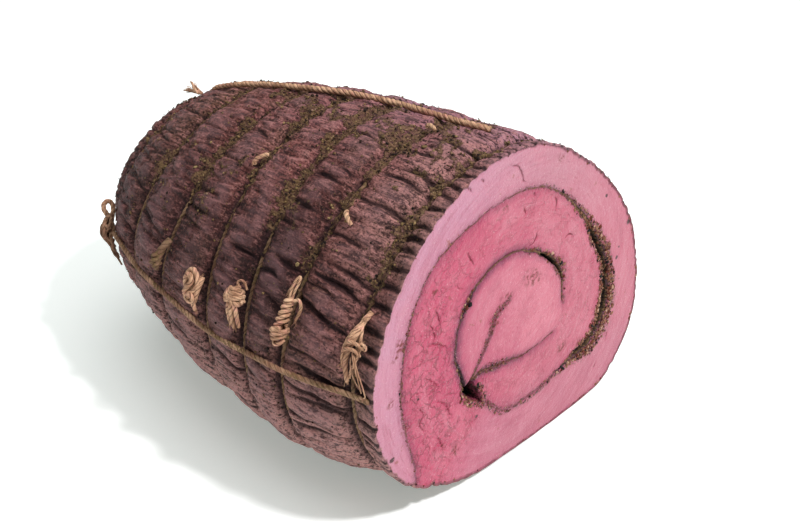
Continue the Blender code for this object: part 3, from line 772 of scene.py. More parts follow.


# %% [markdown]
# ## The crust's finish
#
# A roasted crust is a dark, purplish brown. Its ridges and upper side get painted highlights
# of dull lilac, painted shade makes its creases nearly black and darkens its near side, and
# fine streaks of the meat's grain run along the roll. Where herbs lie it turns olive, with
# black specks of burnt leaf.

# %% Crust
crust_finish, shader, spot = new_finish("roasted_crust", {"Specular IOR Level": 0.16})
grain = spot.stretched(0.16).noise(1.3, 4.0, 0.6)
patch = spot.noise(16.0, 3.0)
mottle = spot.noise(4.6, 4.0, 0.7)
fine = spot.noise(0.9, 4.0, 0.7)
raised = spot.carried("raised")
hollow = spot.carried("hollow")
herby = spot.carried("herbs")
brown = patch.between(0.38, 0.62).mixed(tone(120, 66, 60), tone(140, 82, 77))
brown = (spot.noise(26.0, 3.0).between(0.5, 0.62) * 0.5).mixed(brown, tone(108, 86, 64))
# Painted highlight: dull lilac on the upper side of the crust, fading towards the far end.
brown = (spot.carried("lilac") * patch.between(0.2, 0.55) * 0.8).mixed(brown, tone(190, 140, 164))
# Paler lilac-grey crust low on the near side and near the cut, and painted highlights on two fold ridges near the far
# end.
brown = (spot.carried("ashen") * mottle.between(0.22, 0.5) * 0.9).mixed(brown, tone(196, 148, 142))
# Painted shade: the near side of the roll is darkened towards a deep brown, and the light flecks below are held back
# there.
near_side_shade_here = spot.carried("seared")
unshaded_share = 1.0 - near_side_shade_here * 0.66
brown = (near_side_shade_here * 0.95).mixed(brown, tone(46, 20, 22))
brown = (mottle.between(0.5, 0.68) * 0.55 * unshaded_share).mixed(brown, tone(150, 98, 94))
brown = (mottle.between(0.48, 0.34) * 0.8).mixed(brown, tone(54, 30, 29))
brown = (grain.between(0.51, 0.64) * 0.68 * unshaded_share).mixed(brown, tone(188, 130, 126))
brown = (grain.between(0.49, 0.37) * 0.85).mixed(brown, tone(38, 19, 20))
brown = (fine.between(0.55, 0.66) * 0.55 * unshaded_share).mixed(brown, tone(200, 144, 132))
brown = (fine.between(0.48, 0.37) * 0.9).mixed(brown, tone(30, 15, 16))
# Painted highlight: the raised parts of the relief are lightened to a dull lilac.
brown = (raised.between(0.6, 1.0) * 0.3).mixed(brown, tone(158, 116, 120))
# Painted shade: creases, fissures, folds, the loops' grooves, the seam and the puckers of the far end are darkened
# nearly to black.
brown = (hollow.between(0.15, 0.75) * 0.85).mixed(brown, tone(34, 18, 22))
leafy = spot.noise(1.5, 4.0, 0.7)
herb_colour = leafy.between(0.4, 0.62).mixed(tone(78, 54, 42), tone(122, 96, 66))
herb_colour = spot.noise(0.8, 2.0).between(0.6, 0.72).mixed(herb_colour, tone(160, 136, 96))
herb_colour = spot.noise(1.1, 2.0).between(0.46, 0.37).mixed(herb_colour, tone(26, 19, 16))
herb_edge = (herby + (leafy - 0.5) * 1.3).between(0.4, 0.75)
colour = (herb_edge * 0.8).mixed(brown, herb_colour)
gloss = 0.66 - raised * 0.1 + herb_edge * 0.2 + (fine - 0.5) * 0.3
normal = (grain * 1.2 + mottle * 0.6 + fine * 0.8 + herb_edge * leafy * 0.8).bumped(1.3, 1.0)
joined_up(shader, Base_Color=colour, Roughness=gloss, Normal=normal)
print("finish:", crust_finish.name)

# %% [markdown]
# ## The cut's finish
#
# The cut is moist and pink. The outer turn is the palest, greyish where it was nearest the
# heat, the second turn is a deep rose and the core lies between. Streaks run round with
# the turns. Meat goes dull purple-grey beside the herbs, and the very rim is brown. Painted
# shade darkens the edges of the open slits and the floors of all slits, and tiny near-white
# dots are painted glints.

# %% Cut meat
cut_finish, shader, spot = new_finish("cut_meat", {
    "Specular IOR Level": 0.35, "Subsurface Weight": 0.06, "Subsurface Scale": 0.002,
    "Subsurface Radius": (1.0, 0.35, 0.25)})
in_outer = spot.carried("outer_turn")
in_core = spot.carried("core")
from_slit = spot.carried("from_slit")
from_rim = spot.carried("from_rim")
broad = spot.noise(12.0, 3.0)
middling = spot.noise(3.4, 4.0, 0.6)
tiny = spot.noise(0.7, 3.0)
swirl = spot.node("ShaderNodeCombineXYZ", {}, {0: spot.carried("turn_x"), 1: spot.carried("turn_y"), 2: spot.carried("turn_out")})
strands = swirl.noise(1.2, 4.0, 0.6)
wide_strands = swirl.noise(3.4, 3.0)
rose = spot.carried("rosy").mixed(cut_tone(214, 118, 138), cut_tone(214, 98, 126))
rose = (spot.carried("lower") * 0.75).mixed(rose, cut_tone(202, 116, 138))
heart = spot.carried("rosy").mixed(cut_tone(226, 134, 152), cut_tone(208, 110, 134))
flesh = in_core.mixed(rose, heart)
pale_turn = spot.carried("rosy").mixed(cut_tone(208, 142, 158), cut_tone(216, 155, 178))
flesh = in_outer.mixed(flesh, pale_turn)
flesh = (broad.between(0.4, 0.66) * 0.3).mixed(flesh, cut_tone(222, 138, 156))
flesh = (broad.between(0.5, 0.3) * 0.25 * (1.0 - in_outer)).mixed(flesh, cut_tone(190, 90, 116))
flesh = (wide_strands.between(0.5, 0.72) * 0.2).mixed(flesh, cut_tone(228, 166, 178))
flesh = (wide_strands.between(0.5, 0.3) * 0.22).mixed(flesh, cut_tone(176, 92, 112))
flesh = (strands.between(0.55, 0.75) * 0.25).mixed(flesh, cut_tone(232, 180, 188))
flesh = (strands.between(0.45, 0.28) * 0.26).mixed(flesh, cut_tone(160, 74, 94))
wander = spot.node("ShaderNodeVectorMath", {"operation": "ADD"}, {
    0: spot, 1: spot.node("ShaderNodeTexNoise", {}, {"Vector": spot, "Scale": 500.0, "Detail": 2.0}, 1).stretched(0.003, 0.003, 0.003)})
torn = spot.noise(6.5, 2.0).between(0.45, 0.55) * spot.carried("torn")
web = wander.cells(4.2, "DISTANCE_TO_EDGE").between(0.075, 0.005) * torn
fine_torn = spot.noise(4.0, 2.0).between(0.5, 0.6) * spot.carried("torn")
fine_web = wander.cells(2.1, "DISTANCE_TO_EDGE").between(0.09, 0.0) * fine_torn
split = (web * 0.75).most(fine_web * 0.5).most(spot.carried("cracked").between(0.2, 0.8))
flesh = (split * 0.62).mixed(flesh, cut_tone(136, 42, 70))
leathery = wander.cells(1.7).between(0.0, 0.8) * spot.carried("torn")
bruised = (spot.carried("from_turns") + (broad - 0.5) * 9.0).between(9.5, 0.5)
flesh = (bruised * spot.carried("greying") * 0.5).mixed(flesh, cut_tone(188, 80, 112))
greyed = (spot.carried("from_turns") + (middling - 0.5) * 3.0).between(3.6, 0.0)
flesh = (greyed * spot.carried("greying")).mixed(flesh, cut_tone(142, 76, 100))
brown_specks = spot.noise(1.0, 2.0, 0.6).between(0.5, 0.6) * (spot.carried("crumbly") + (middling - 0.5) * 0.7).between(0.12, 0.5)
flesh = (brown_specks * 0.9).mixed(flesh, cut_tone(112, 82, 62))
flesh = (spot.noise(0.8, 2.0).between(0.54, 0.62) * spot.carried("crumbly").between(0.25, 0.7)).mixed(flesh, cut_tone(58, 36, 40))
# Painted shade along the edges of the open slits.
slit_edge_shade = (from_slit + (tiny - 0.5) * 0.7).between(0.5, 0.0)
flesh = (slit_edge_shade * 0.8 * spot.carried("open")).mixed(flesh, cut_tone(58, 30, 38))
freckle = spot.noise(3.6, 2.0).between(0.715, 0.75)
flesh = (freckle * 0.6).mixed(flesh, cut_tone(164, 100, 86))
flesh = (spot.carried("stained") * spot.noise(1.3, 3.0).between(0.42, 0.6)).mixed(flesh, cut_tone(138, 66, 52))
flesh = (spot.carried("burnt") + (tiny - 0.5) * 0.9).between(0.4, 0.8).mixed(flesh, tone(58, 6, 18))
# Painted glints: tiny near-white dots scattered over the cut.
flesh = (spot.noise(0.6, 1.0).between(0.7, 0.75) * 0.5).mixed(flesh, cut_tone(250, 214, 218))
rimmed = (from_rim + (middling - 0.5) * 3.2).between(1.0, 0.0)
rim_colour = spot.carried("near_side").mixed(cut_tone(122, 68, 84), cut_tone(196, 158, 142))
rim_colour = spot.noise(1.6, 2.0).between(0.55, 0.66).mixed(rim_colour, cut_tone(84, 44, 52))
flesh = (rimmed * 0.65).mixed(flesh, rim_colour)
# Painted shade: the floors of the slits and of the hole are nearly black.
flesh = from_slit.between(0.0, -0.3).mixed(flesh, cut_tone(36, 12, 16))
gloss = 0.44 + (middling - 0.5) * 0.2 + rimmed * 0.2 - tiny.between(0.62, 0.7) * 0.18 + from_slit.between(0.0, -0.3) * 0.45
normal = (strands * 0.5 + middling * 0.8 + tiny * 0.5 - split * 0.9 + brown_specks * 0.6 - leathery * 0.4).bumped(0.7, 0.9)
joined_up(shader, Base_Color=flesh, Roughness=gloss, Normal=normal)
print("finish:", cut_finish.name)

# %% The meat itself
meat_rows = np.concatenate((cap_grid[::-1], crust[::-1], cut_grid))
rows = len(meat_rows)
points = in_frame(meat_rows.reshape(-1, 3))
front_middle = in_frame(np.array([[0.7, 0.0, AXIS_HEIGHT]]))
end_tip = in_frame(np.array([[cap_back[0].mean(), end_middle[0], end_middle[1]]]))
points = np.concatenate((points, end_tip, front_middle))
quads = grid_faces(rows, COLUMNS)
column = np.arange(COLUMNS)
after = (column + 1) % COLUMNS
last = (rows - 1) * COLUMNS
tip_faces = np.stack((np.full(COLUMNS, rows * COLUMNS), after, column), 1)
front_faces = np.stack((np.full(COLUMNS, rows * COLUMNS + 1), last + column, last + after), 1)
quad_row = np.repeat(np.arange(rows - 1), COLUMNS)
cut_start = len(cap_grid) + len(crust) - 1
finish_of_face = np.concatenate(((quad_row >= cut_start) * 1, np.zeros(COLUMNS), np.ones(COLUMNS)))


def over_meat(cap_value, crust_value, cut_value, front_value=0.0):
    """One value for every point of the meat, from its three parts."""
    shapes = ((cap_value, cap_grid), (crust_value, crust), (cut_value, cut_grid))
    parts = [np.broadcast_to(value, grid.shape[:2]) for value, grid in shapes]
    joined = np.concatenate((parts[0][::-1], parts[1][::-1], parts[2])).ravel()
    return np.concatenate((joined, [0.0, front_value]))


smooth_relief = np.clip((relief + 3.4) / 3.2, 0.0, 1.0)
# Masks for painted shade in the crust's hollows: the far-end folds, the loops' grooves, the pleats, the fissures and
# the seam.
fold_shade = np.clip(folds / 1.5, 0.0, 1.0)
loop_groove_shade = np.exp(-((from_loop / 1.9) ** 2)) * (1.0 - 0.8 * herb_band * upper)
pleats = np.clip((crease * band_depth - 0.3) / 1.1, 0.0, 1.0)
hollow_shade_mask = np.maximum.reduce((pleats, (0.25 + 0.1 * back_half) * fissures, fold_shade, loop_groove_shade, seam))
# Where the painted lilac highlight lies: the upper side, fading out towards the far end.
lilac = heap_round(angle_grid, 72.0, 32.0) * eased((140.0 - place_grid) / 90.0)
# Painted highlights on two fold ridges near the far end, then paler crust low on the near side and high on it close to
# the cut.
fold_ridge_highlights = np.maximum(heap(place_grid, 166.3, 1.7), heap(place_grid, 172.4, 1.7)) * heap_round(angle_grid, 158.0, 32.0)
ashen = np.maximum(fold_ridge_highlights, heap_round(angle_grid, 206.0, 30.0) * eased((170.0 - place_grid) / 50.0))
ashen = np.maximum(ashen, 0.6 * heap_round(angle_grid, 128.0, 34.0) * heap(place_grid, 16.0, 15.0))
# Where painted shade darkens the roll's near side: strongest near the middle loops and along the back half.
seared = heap_round(angle_grid, 163.0, 24.0) * (0.42 + 0.58 * heap(place_grid, 52.0, 20.0))
seared += 0.45 * heap_round(angle_grid, 132.0, 24.0) * heap(place_grid, 48.0, 10.0)
seared += 0.5 * back_half * heap_round(angle_grid, 150.0, 40.0)
turn_angle = np.radians(face_angle)
from_turns = np.minimum(np.minimum(line_away["over"], line_away["under"]), line_away["fold"] + 1.0)
from_turns = np.minimum(from_turns, line_away["outer"] + 0.4 * (outside > 0.5))
greying = np.where(from_turns < line_away["outer"], 1.0, 0.45) * (0.4 + 0.6 * eased((20.0 - face[..., 0]) / 40.0))
torn = heap_round(face_angle, 190.0, 62.0) * (1.0 - outside) * (1.0 - inside_core)
torn = np.maximum(torn, 0.4 * (1.0 - inside_core) * (1.0 - outside))
# Spots where the cut is stained brown or burnt black, as (across, height, size) in mm
STAINS = ((5.0, 71.5, 3.2), (1.0, 73.5, 2.0), (8.0, 70.0, 1.6), (-9.5, 69.0, 3.0), (-14.0, 63.0, 3.0), (-61.5, 76.0, 2.4),
          (-63.0, 73.0, 1.6), (-59.0, 44.0, 2.2), (-65.5, 57.0, 1.4), (-12.5, 104.0, 1.6), (16.0, 112.0, 1.5), (-34.0, 20.0, 2.0),
          (-46.0, 88.0, 1.5), (25.0, 33.0, 2.4), (37.0, 30.0, 1.6), (-41.0, 26.0, 1.4))
BURNS = ((-65.1, 34.7, 1.2), (63.6, 70.4, 1.5), (66.5, 69.6, 0.9), (57.1, 57.5, 1.0), (-29.0, 76.4, 1.2), (51.0, 24.0, 0.8),
         (-23.0, 28.5, 0.8), (58.5, 61.5, 0.8), (46.0, 87.0, 0.9), (60.5, 47.0, 0.7), (-53.0, 52.0, 0.7))


def spotted(spots):
    """1 at the middle of the nearest of these spots, 0 away from them."""
    wobble = 1.0 + 0.45 * lumps(face_flat, 1.6, seed=131)
    away_from = [np.hypot(face[..., 0] - across, face[..., 1] - height) / (size * wobble) for across, height, size in spots]
    return np.exp(-(np.minimum.reduce(away_from) ** 3))


meat_values = {
    "raised": over_meat(0.6, smooth_relief, 0.5),
    "hollow": over_meat(0.35 * puckers, hollow_shade_mask, 0.0),
    "herbs": over_meat(0.1, herbs_here, 0.0),
    "lilac": over_meat(0.0, lilac, 0.0),
    "ashen": over_meat(0.0, ashen, 0.0),
    "seared": over_meat(np.clip(seared[-1], 0.0, 1.0), np.clip(seared, 0.0, 1.0), 0.0),
    "outer_turn": over_meat(0.0, 1.0, pale),
    "core": over_meat(0.0, 0.0, inside_core, 1.0),
    "from_slit": over_meat(9.0, 9.0, np.clip(np.minimum(away, hole_away), -3.0, 9.0), 9.0),
    "from_turns": over_meat(9.0, 9.0, np.clip(from_turns, 0.0, 9.0), 9.0),
    "greying": over_meat(0.0, 0.0, greying),
    "from_rim": over_meat(0.0, 0.0, np.clip(rim_away, 0.0, 9.0), 9.0),
    "cracked": over_meat(0.0, 0.0, cracked),
    "torn": over_meat(0.0, 0.0, torn),
    "crumbly": over_meat(0.0, 0.0, crumbly),
    "open": over_meat(0.0, 0.0, openness),
    "stained": over_meat(0.0, 0.0, spotted(STAINS)),
    "burnt": over_meat(0.0, 0.0, spotted(BURNS)),
    "near_side": over_meat(0.0, 0.0, heap_round(face_angle, 178.0, 62.0)),
    "rosy": over_meat(0.0, 0.0, eased((15.0 - face[..., 0]) / 60.0)),
    "lower": over_meat(0.0, 0.0, eased((34.0 - face[..., 1]) / 16.0) * eased((face[..., 0] + 40.0) / 40.0)),
    "turn_x": over_meat(0.0, 0.0, 8.0 * MM * np.cos(turn_angle)),
    "turn_y": over_meat(0.0, 0.0, 8.0 * MM * np.sin(turn_angle)),
    "turn_out": over_meat(0.0, 0.0, face_radius * MM),
}
meat = build("beef", points, (quads, tip_faces, front_faces), (crust_finish, cut_finish), ("meat",),
             meat_values, finish_of_face)

# %% [markdown]
# ## The herbs between the turns
#
# Each herb layer is a crumbly sheet, rolled up with the meat. Its front edge shows in the
# cut a little behind the face, so the layer is made as a band that follows its line, with
# a lumpy front, and runs back inside the roll to where the solid's layer ends.

# %% Herbs' finish
herb_finish, shader, spot = new_finish("chopped_herbs", {"Specular IOR Level": 0.25})
leafy = spot.noise(1.3, 4.0, 0.7)
green = leafy.between(0.38, 0.62).mixed(tone(78, 54, 40), tone(128, 98, 66))
green = spot.noise(0.7, 2.0).between(0.6, 0.72).mixed(green, tone(160, 132, 88))
green = spot.noise(0.9, 2.0).between(0.45, 0.36).mixed(green, tone(30, 22, 17))
green = (spot.carried("thin") * 0.75).mixed(green, tone(112, 66, 66))
# Painted shade: where the layer's front lies deep behind the face, or in an empty gap, it is nearly black.
green = (spot.carried("deep") * 0.92).mixed(green, tone(18, 11, 11))
joined_up(shader, Base_Color=green, Roughness=0.78 + (leafy - 0.5) * 0.2,
          Normal=(leafy + spot.noise(0.6, 2.0)).bumped(0.6, 0.8))
print("finish:", herb_finish.name)

# %% Herb layers
HERB_END = 158.0
ACROSS = np.linspace(-1.0, 1.0, 19)
SECTION = np.concatenate((((-1.0, 158.0), (-1.0, 60.0), (-1.0, 6.0)), np.stack((ACROSS, 0.5 + 0.0 * ACROSS), 1),
                          ((1.0, 6.0), (1.0, 60.0), (1.0, 158.0))))


def in_roll(spots, back):
    """Spots (across, height) of the cut, carried back inside the roll at their share of its radius."""
    from_middle = spots - middle
    angle = np.degrees(np.arctan2(from_middle[..., 1], from_middle[..., 0])) % 360.0
    there = np.stack(outline(back, angle), -1) - middle
    here = np.stack(outline(np.zeros_like(back), angle), -1) - middle
    share = np.linalg.norm(from_middle, axis=-1) / np.linalg.norm(here, axis=-1)
    return np.concatenate((back[..., None], middle + there * share[..., None]), -1)


for name, node in (("outer", "outer_turn"), ("over", "over_core"), ("under", "under_core"), ("fold", "core_fold")):
    parts = herb_lines[name]
    buried = (parts["at"] > 21.0) | (name != "outer")
    line, half, aside = (parts[key][buried] for key in ("line", "half", "aside"))
    spots = line[:, None] + aside[:, None] * (half[:, None] * SECTION[None, :, 0])[..., None]
    back = np.broadcast_to(SECTION[None, :, 1], spots.shape[:2]).copy()
    flat = np.concatenate((back[..., None] * 0, spots), -1)
    front = SECTION[:, 1] < 3.0
    heaped = 1.3 * np.abs(rough(flat, 1.5, 3, seed=111)) * np.clip(half[:, None] + 0.35, 0.0, 1.6)
    gap = parts["empty"][buried][:, None] * eased((parts["gap_to"][buried][:, None] - SECTION[None, :, 0]) / 0.35)
    back[:, front] += (heaped + 0.25 + 7.0 * gap)[:, front]
    band = in_roll(spots, np.maximum(back, 0.1))
    count, wide = band.shape[:2]
    first = np.arange(1, wide - 1)
    ends = np.concatenate((np.stack((0 * first, first, first + 1), 1),
                           (count - 1) * wide + np.stack((0 * first, first + 1, first), 1)))
    # How deep in painted shade each point of the layer is: far back from the face, or in an empty gap.
    deep = np.maximum(np.clip((back - 0.9) / 1.2, 0.0, 1.0), np.clip(gap * 4.0, 0.0, 1.0))
    build("herbs_" + node, in_frame(band.reshape(-1, 3)), (grid_faces(count, wide), ends), (herb_finish,),
          ("herb_layer_" + node,), {"deep": deep, "thin": np.repeat(1.0 - np.clip(half / 0.5, 0.0, 1.0), wide)})

# %% [markdown]
# ## Butcher's string
#
# The string is cotton, laid up from three strands, and roasting has stained it tan and
# reddish. A tube whose outline has three lobes that turn along its length gives the laid
# strands. Loose fibres stand off it where it was cut.

# %% String's finish
string_finish, shader, spot = new_finish("stained_string", {"Specular IOR Level": 0.2})
stain = spot.noise(7.0, 3.0)
fluff = spot.noise(0.5, 3.0)
lay = spot.node("ShaderNodeCombineXYZ", {}, {0: spot.carried("fibre_x"), 1: spot.carried("fibre_y"), 2: spot.carried("fibre_z")})
fibre = lay.noise(0.42, 3.0, 0.65)
cotton = stain.between(0.36, 0.64).mixed(tone(178, 132, 104), tone(226, 180, 146))
cotton = (spot.noise(2.4, 3.0).between(0.5, 0.68) * 0.5).mixed(cotton, tone(216, 144, 134))
cotton = (fibre.between(0.52, 0.34) * 0.75).mixed(cotton, tone(118, 76, 56))
cotton = (fibre.between(0.56, 0.7) * 0.5).mixed(cotton, tone(244, 208, 176))
cotton = (spot.carried("soaked") * 0.85).mixed(cotton, tone(84, 58, 42))
cotton = (spot.carried("herby") * spot.noise(1.0, 3.0).between(0.4, 0.58) * 0.85).mixed(cotton, tone(104, 86, 52))
# Painted shade in the grooves between the laid strands.
cotton = (spot.carried("groove").between(0.35, 1.0) * 0.8).mixed(cotton, tone(66, 38, 30))
joined_up(shader, Base_Color=cotton, Roughness=0.78 + (fluff - 0.5) * 0.2,
          Normal=(fibre + fluff * 0.4).bumped(0.45, 1.0))
print("finish:", string_finish.name)

# %% Laid string along a path
STRING_RADIUS = 1.25


def run_along(path):
    """Distance along a path of points."""
    return np.concatenate(([0.0], np.cumsum(np.linalg.norm(np.diff(path, axis=0), axis=1))))


def evenly(path, step, closed=False):
    """The same path with a point every step mm, or nearly."""
    whole = np.vstack((path, path[:1])) if closed else path
    at = run_along(whole)
    count = max(4, int(round(at[-1] / step)))
    wanted = np.linspace(0.0, at[-1], count, endpoint=not closed)
    return np.stack([np.interp(wanted, at, whole[:, axis]) for axis in range(3)], 1)


def sides_of(path, up, closed=False):
    """Two directions square to the path at each of its points."""
    if closed:
        ahead = np.roll(path, -1, axis=0) - np.roll(path, 1, axis=0)
    else:
        ahead = np.gradient(path, axis=0)
    ahead /= np.maximum(np.linalg.norm(ahead, axis=1, keepdims=True), 1e-9)
    side = np.cross(ahead, up)
    side /= np.maximum(np.linalg.norm(side, axis=1, keepdims=True), 1e-9)
    return side, np.cross(side, ahead)


def laid(path, up, radius=STRING_RADIUS, strands=3, pitch=7.0, around=15, closed=False, turn=0.0, cleft=0.26):
    """Points (in mm), faces and values (depth between the strands, for their painted shade, and where its fibres run)
    of a string laid up along a path.
    """
    side, over = sides_of(path, up, closed)
    at = run_along(path)
    spin = 2.0 * pi * np.arange(around) / around
    if closed:
        whole = at[-1] + np.linalg.norm(path[0] - path[-1])
        pitch = whole / max(1, round(whole / pitch))
    phase = spin[None, :] - 2.0 * pi * at[:, None] / pitch + turn
    lobe = np.abs(np.cos(phase * strands / 2.0))
    wide = np.broadcast_to(np.asarray(radius, float), at.shape)[:, None]
    reach = wide * (1.0 - cleft + cleft * lobe ** 0.8)
    fibres = np.stack((1.0 - lobe, wide * np.cos(phase), wide * np.sin(phase), np.broadcast_to(0.11 * at[:, None], lobe.shape)), -1)
    fibres = fibres.reshape(-1, 4)
    tube = (path[:, None] + side[:, None] * (reach * np.cos(spin))[..., None]
            + over[:, None] * (reach * np.sin(spin))[..., None])
    count = len(path)
    if closed:
        faces = grid_faces(count + 1, around) % (count * around)
        return tube.reshape(-1, 3), [faces], fibres
    points = np.concatenate((tube.reshape(-1, 3), path[:1], path[-1:]))
    spoke = np.arange(around)
    after = (spoke + 1) % around
    start = np.stack((np.full(around, count * around), after, spoke), 1)
    end = np.stack((np.full(around, count * around + 1), (count - 1) * around + spoke,
                    (count - 1) * around + after), 1)
    return points, [grid_faces(count, around), np.concatenate((start, end))], np.concatenate((fibres, fibres[:1], fibres[-1:]))


def joined(parts):
    """Several (points, faces, values) lots as one."""
    points, quads, triangles, values, first = [], [], [], [], 0
    for lot_points, lot_faces, lot_values in parts:
        points.append(lot_points)
        values.append(lot_values)
        for group in lot_faces:
            (quads if group.shape[1] == 4 else triangles).append(group + first)
        first += len(lot_points)
    faces = [np.concatenate(group) for group in (quads, triangles) if group]
    return np.concatenate(points), faces, np.concatenate(values)


def build_string(name, parts, nodes, herby=0.0, soaked=0.0):
    points, faces, values = joined(parts)
    on_top = eased((points[:, 2] - 70.0) / 35.0)
    herb = np.clip((herby + 0.5 * on_top * (herby > 0.5)) * (0.7 + 1.2 * rough(points, 5.0, 2, seed=121)), 0.0, 1.0)
    return build(name, in_frame(points), faces, (string_finish,), nodes, {
        "groove": values[:, 0], "fibre_x": values[:, 1] * MM, "fibre_y": values[:, 2] * MM,
        "fibre_z": values[:, 3] * MM, "herby": herb, "soaked": np.full(len(points), soaked)})


# %% Loops round the roll
for number, loop_place in enumerate(LOOP_PLACES):
    turn = np.linspace(0.0, 360.0, 720, endpoint=False)
    ring_place = np.full_like(turn, loop_place)
    ring_points = on_roll(ring_place, turn)
    two = on_roll(np.stack((ring_place - 1.0, ring_place + 1.0)), turn[None])
    along = two[1] - two[0]
    along[:, 1:] = 0.0
    along[:, 0] = 1.0
    tangent = np.roll(ring_points, -1, axis=0) - np.roll(ring_points, 1, axis=0)
    out = np.cross(tangent, along)
    out /= np.linalg.norm(out, axis=1, keepdims=True)
    out *= np.sign(out[0, 1])
    sunk = 3.0 * eased(ring_points[:, 2] / 20.0) + 1.5
    path = ring_points - out * sunk[:, None]
    path[:, 2] = np.maximum(path[:, 2], 1.35)
    path = evenly(path, 0.7, closed=True)
    up = np.stack((np.zeros(len(path)), path[:, 1], path[:, 2] - AXIS_HEIGHT), 1)
    build_string("loop_%d" % (number + 1), [laid(path, up, radius=1.0, around=10, closed=True, turn=number)],
                 ("string_loop_%d" % (number + 1),), 0.95, 0.8)


# %% Strings along the roll
def above_crust(place, angle, lift):
    """Points square above the full skin."""
    place, angle = np.asarray(place, float), np.asarray(angle, float)
    here = on_roll(place, angle)
    along = on_roll(place + 1.0, angle) - on_roll(np.maximum(0.0, place - 1.0), angle)
    round_it = on_roll(place, angle + 3.0) - on_roll(place, angle - 3.0)
    out = np.cross(round_it, along)
    out /= np.linalg.norm(out, axis=-1, keepdims=True)
    out *= np.sign(np.sum(out * (here - np.array((90.0, 0.0, AXIS_HEIGHT))), axis=-1, keepdims=True))
    return here + out * np.asarray(lift)[..., None], out


def crust_under(place, angle, reach):
    """Relief of the crust in mm below the spots of a taut string, evened out over reach mm."""
    row = np.interp(place, places, np.arange(len(places))).round().astype(int)
    column = np.interp(angle % 360.0, angles, np.arange(COLUMNS)).round().astype(int) % COLUMNS
    count = int(reach / 0.5)
    weights = np.hanning(2 * count + 3)[1:-1]
    return np.convolve(np.pad(relief[row, column], count, "edge"), weights / weights.sum(), "valid")


TOP_ROUTE = ((20.0, 92.6), (60.0, 94.2), (100.0, 98.5), (140.0, 103.0), (160.0, 107.0), (172.0, 120.0),
             (177.0, 142.0), (172.5, 166.0))
SIDE_ROUTE = ((1.5, 178.5), (50.0, 181.0), (100.0, 181.0), (135.0, 179.0), (150.0, 180.0))
for name, route, radius, herby, soaked in (("string_top", TOP_ROUTE, 1.15, 0.25, 0.0),
                                           ("string_side", SIDE_ROUTE, 0.95, 0.8, 0.5)):
    spots, at = dense(route, 0.5)
    spots[:, 1] += 0.5 * np.sin(at / 9.0)
    lift = crust_under(spots[:, 0], spots[:, 1], 26.0) + 0.8 * radius + 0.5
    lift -= 3.0 * eased((spots[:, 0] - 146.0) / 10.0) * (name == "string_top")
    path, up = above_crust(spots[:, 0], spots[:, 1], lift)
    node = "string_along_top" if name == "string_top" else "string_along_side"
    build_string(name, [laid(path, up, radius)], (node,), herby, soaked)

# %% [markdown]
# ## Knots
#
# Each loop is closed by a knot on the near side. A knot is string wound over itself, with
# short ends that fray. So it is made the same way: strands of string, some of them wound as
# coils, then loose ends that hang down over the crust and split into fibres.

# %% Strands on the skin
def round_at(place, angle):
    """Distance in mm from the roll's middle to the skin."""
    spot = on_roll(np.array([place]), np.array([angle]))[0]
    return float(np.hypot(spot[1], spot[2] - AXIS_HEIGHT))


def on_skin(place, angle, spots):
    """Points (towards the cut, up round the roll, out) in mm from a spot of the skin."""
    spots = np.array(spots, float)
    turned = angle - np.degrees(spots[:, 1] / round_at(place, angle))
    return above_crust(place - spots[:, 0], turned, spots[:, 2])


def strand(place, angle, spots, radius, strands=2, pitch=3.2, around=9, taper_to=0.75):
    """A smooth strand through a few points given from a spot of the skin."""
    curve, _ = dense(spots, 0.3)
    path, out = on_skin(place, angle, curve)
    share = np.linspace(0.0, 1.0, len(path))
    width = radius * (1.0 - (1.0 - taper_to) * share ** 2)
    return laid(path, out, radius=width, strands=strands, pitch=pitch, around=around, cleft=0.15)


def frayed(place, angle, spot, heading, count, length, spread):
    """Fine fibres that leave a spot in about one direction."""
    parts = []
    for _ in range(count):
        start = np.array(spot) + chance.uniform(-0.4, 0.4, 3)
        aim = np.array(heading, float) + chance.uniform(-spread, spread, 3)
        reach = length * chance.uniform(0.45, 1.0) * aim / np.linalg.norm(aim)
        bend = chance.uniform(-0.35, 0.35, 3) * length
        spots = [start, start + 0.5 * reach + 0.5 * bend * np.array((1.0, 1.0, 0.4)), start + reach]
        spots = [(a, b, max(c, 0.25)) for a, b, c in spots]
        parts.append(strand(place, angle, spots, chance.uniform(0.09, 0.17), 1, 90.0, 4, 0.4))
    return parts


def coil(low, high, turns, wide_low, wide_high, deep, lean=0.0, slant=0.0, phase=0.0):
    """Turns of string wound round an upright core, from low to high; lean moves its middle."""
    spots = []
    for step in range(int(turns * 8) + 1):
        share = step / (turns * 8)
        turn = phase + 2.0 * pi * share * turns
        wide = wide_low + (wide_high - wide_low) * share
        spots.append((lean * share + wide * cos(turn), low + (high - low) * share + slant * wide * cos(turn),
                      deep + min(wide, deep - 0.3) * sin(turn)))
    return spots


# %% [markdown]
# Every knot is a little different, so each has its own strands. They are given by a few
# points each, as distances from the knot's place on the skin: towards the cut, up round
# the roll and out from it. Where no two knots are alike, a short list of points for each
# strand is easier to read and to change than rules that would have to cover them all.

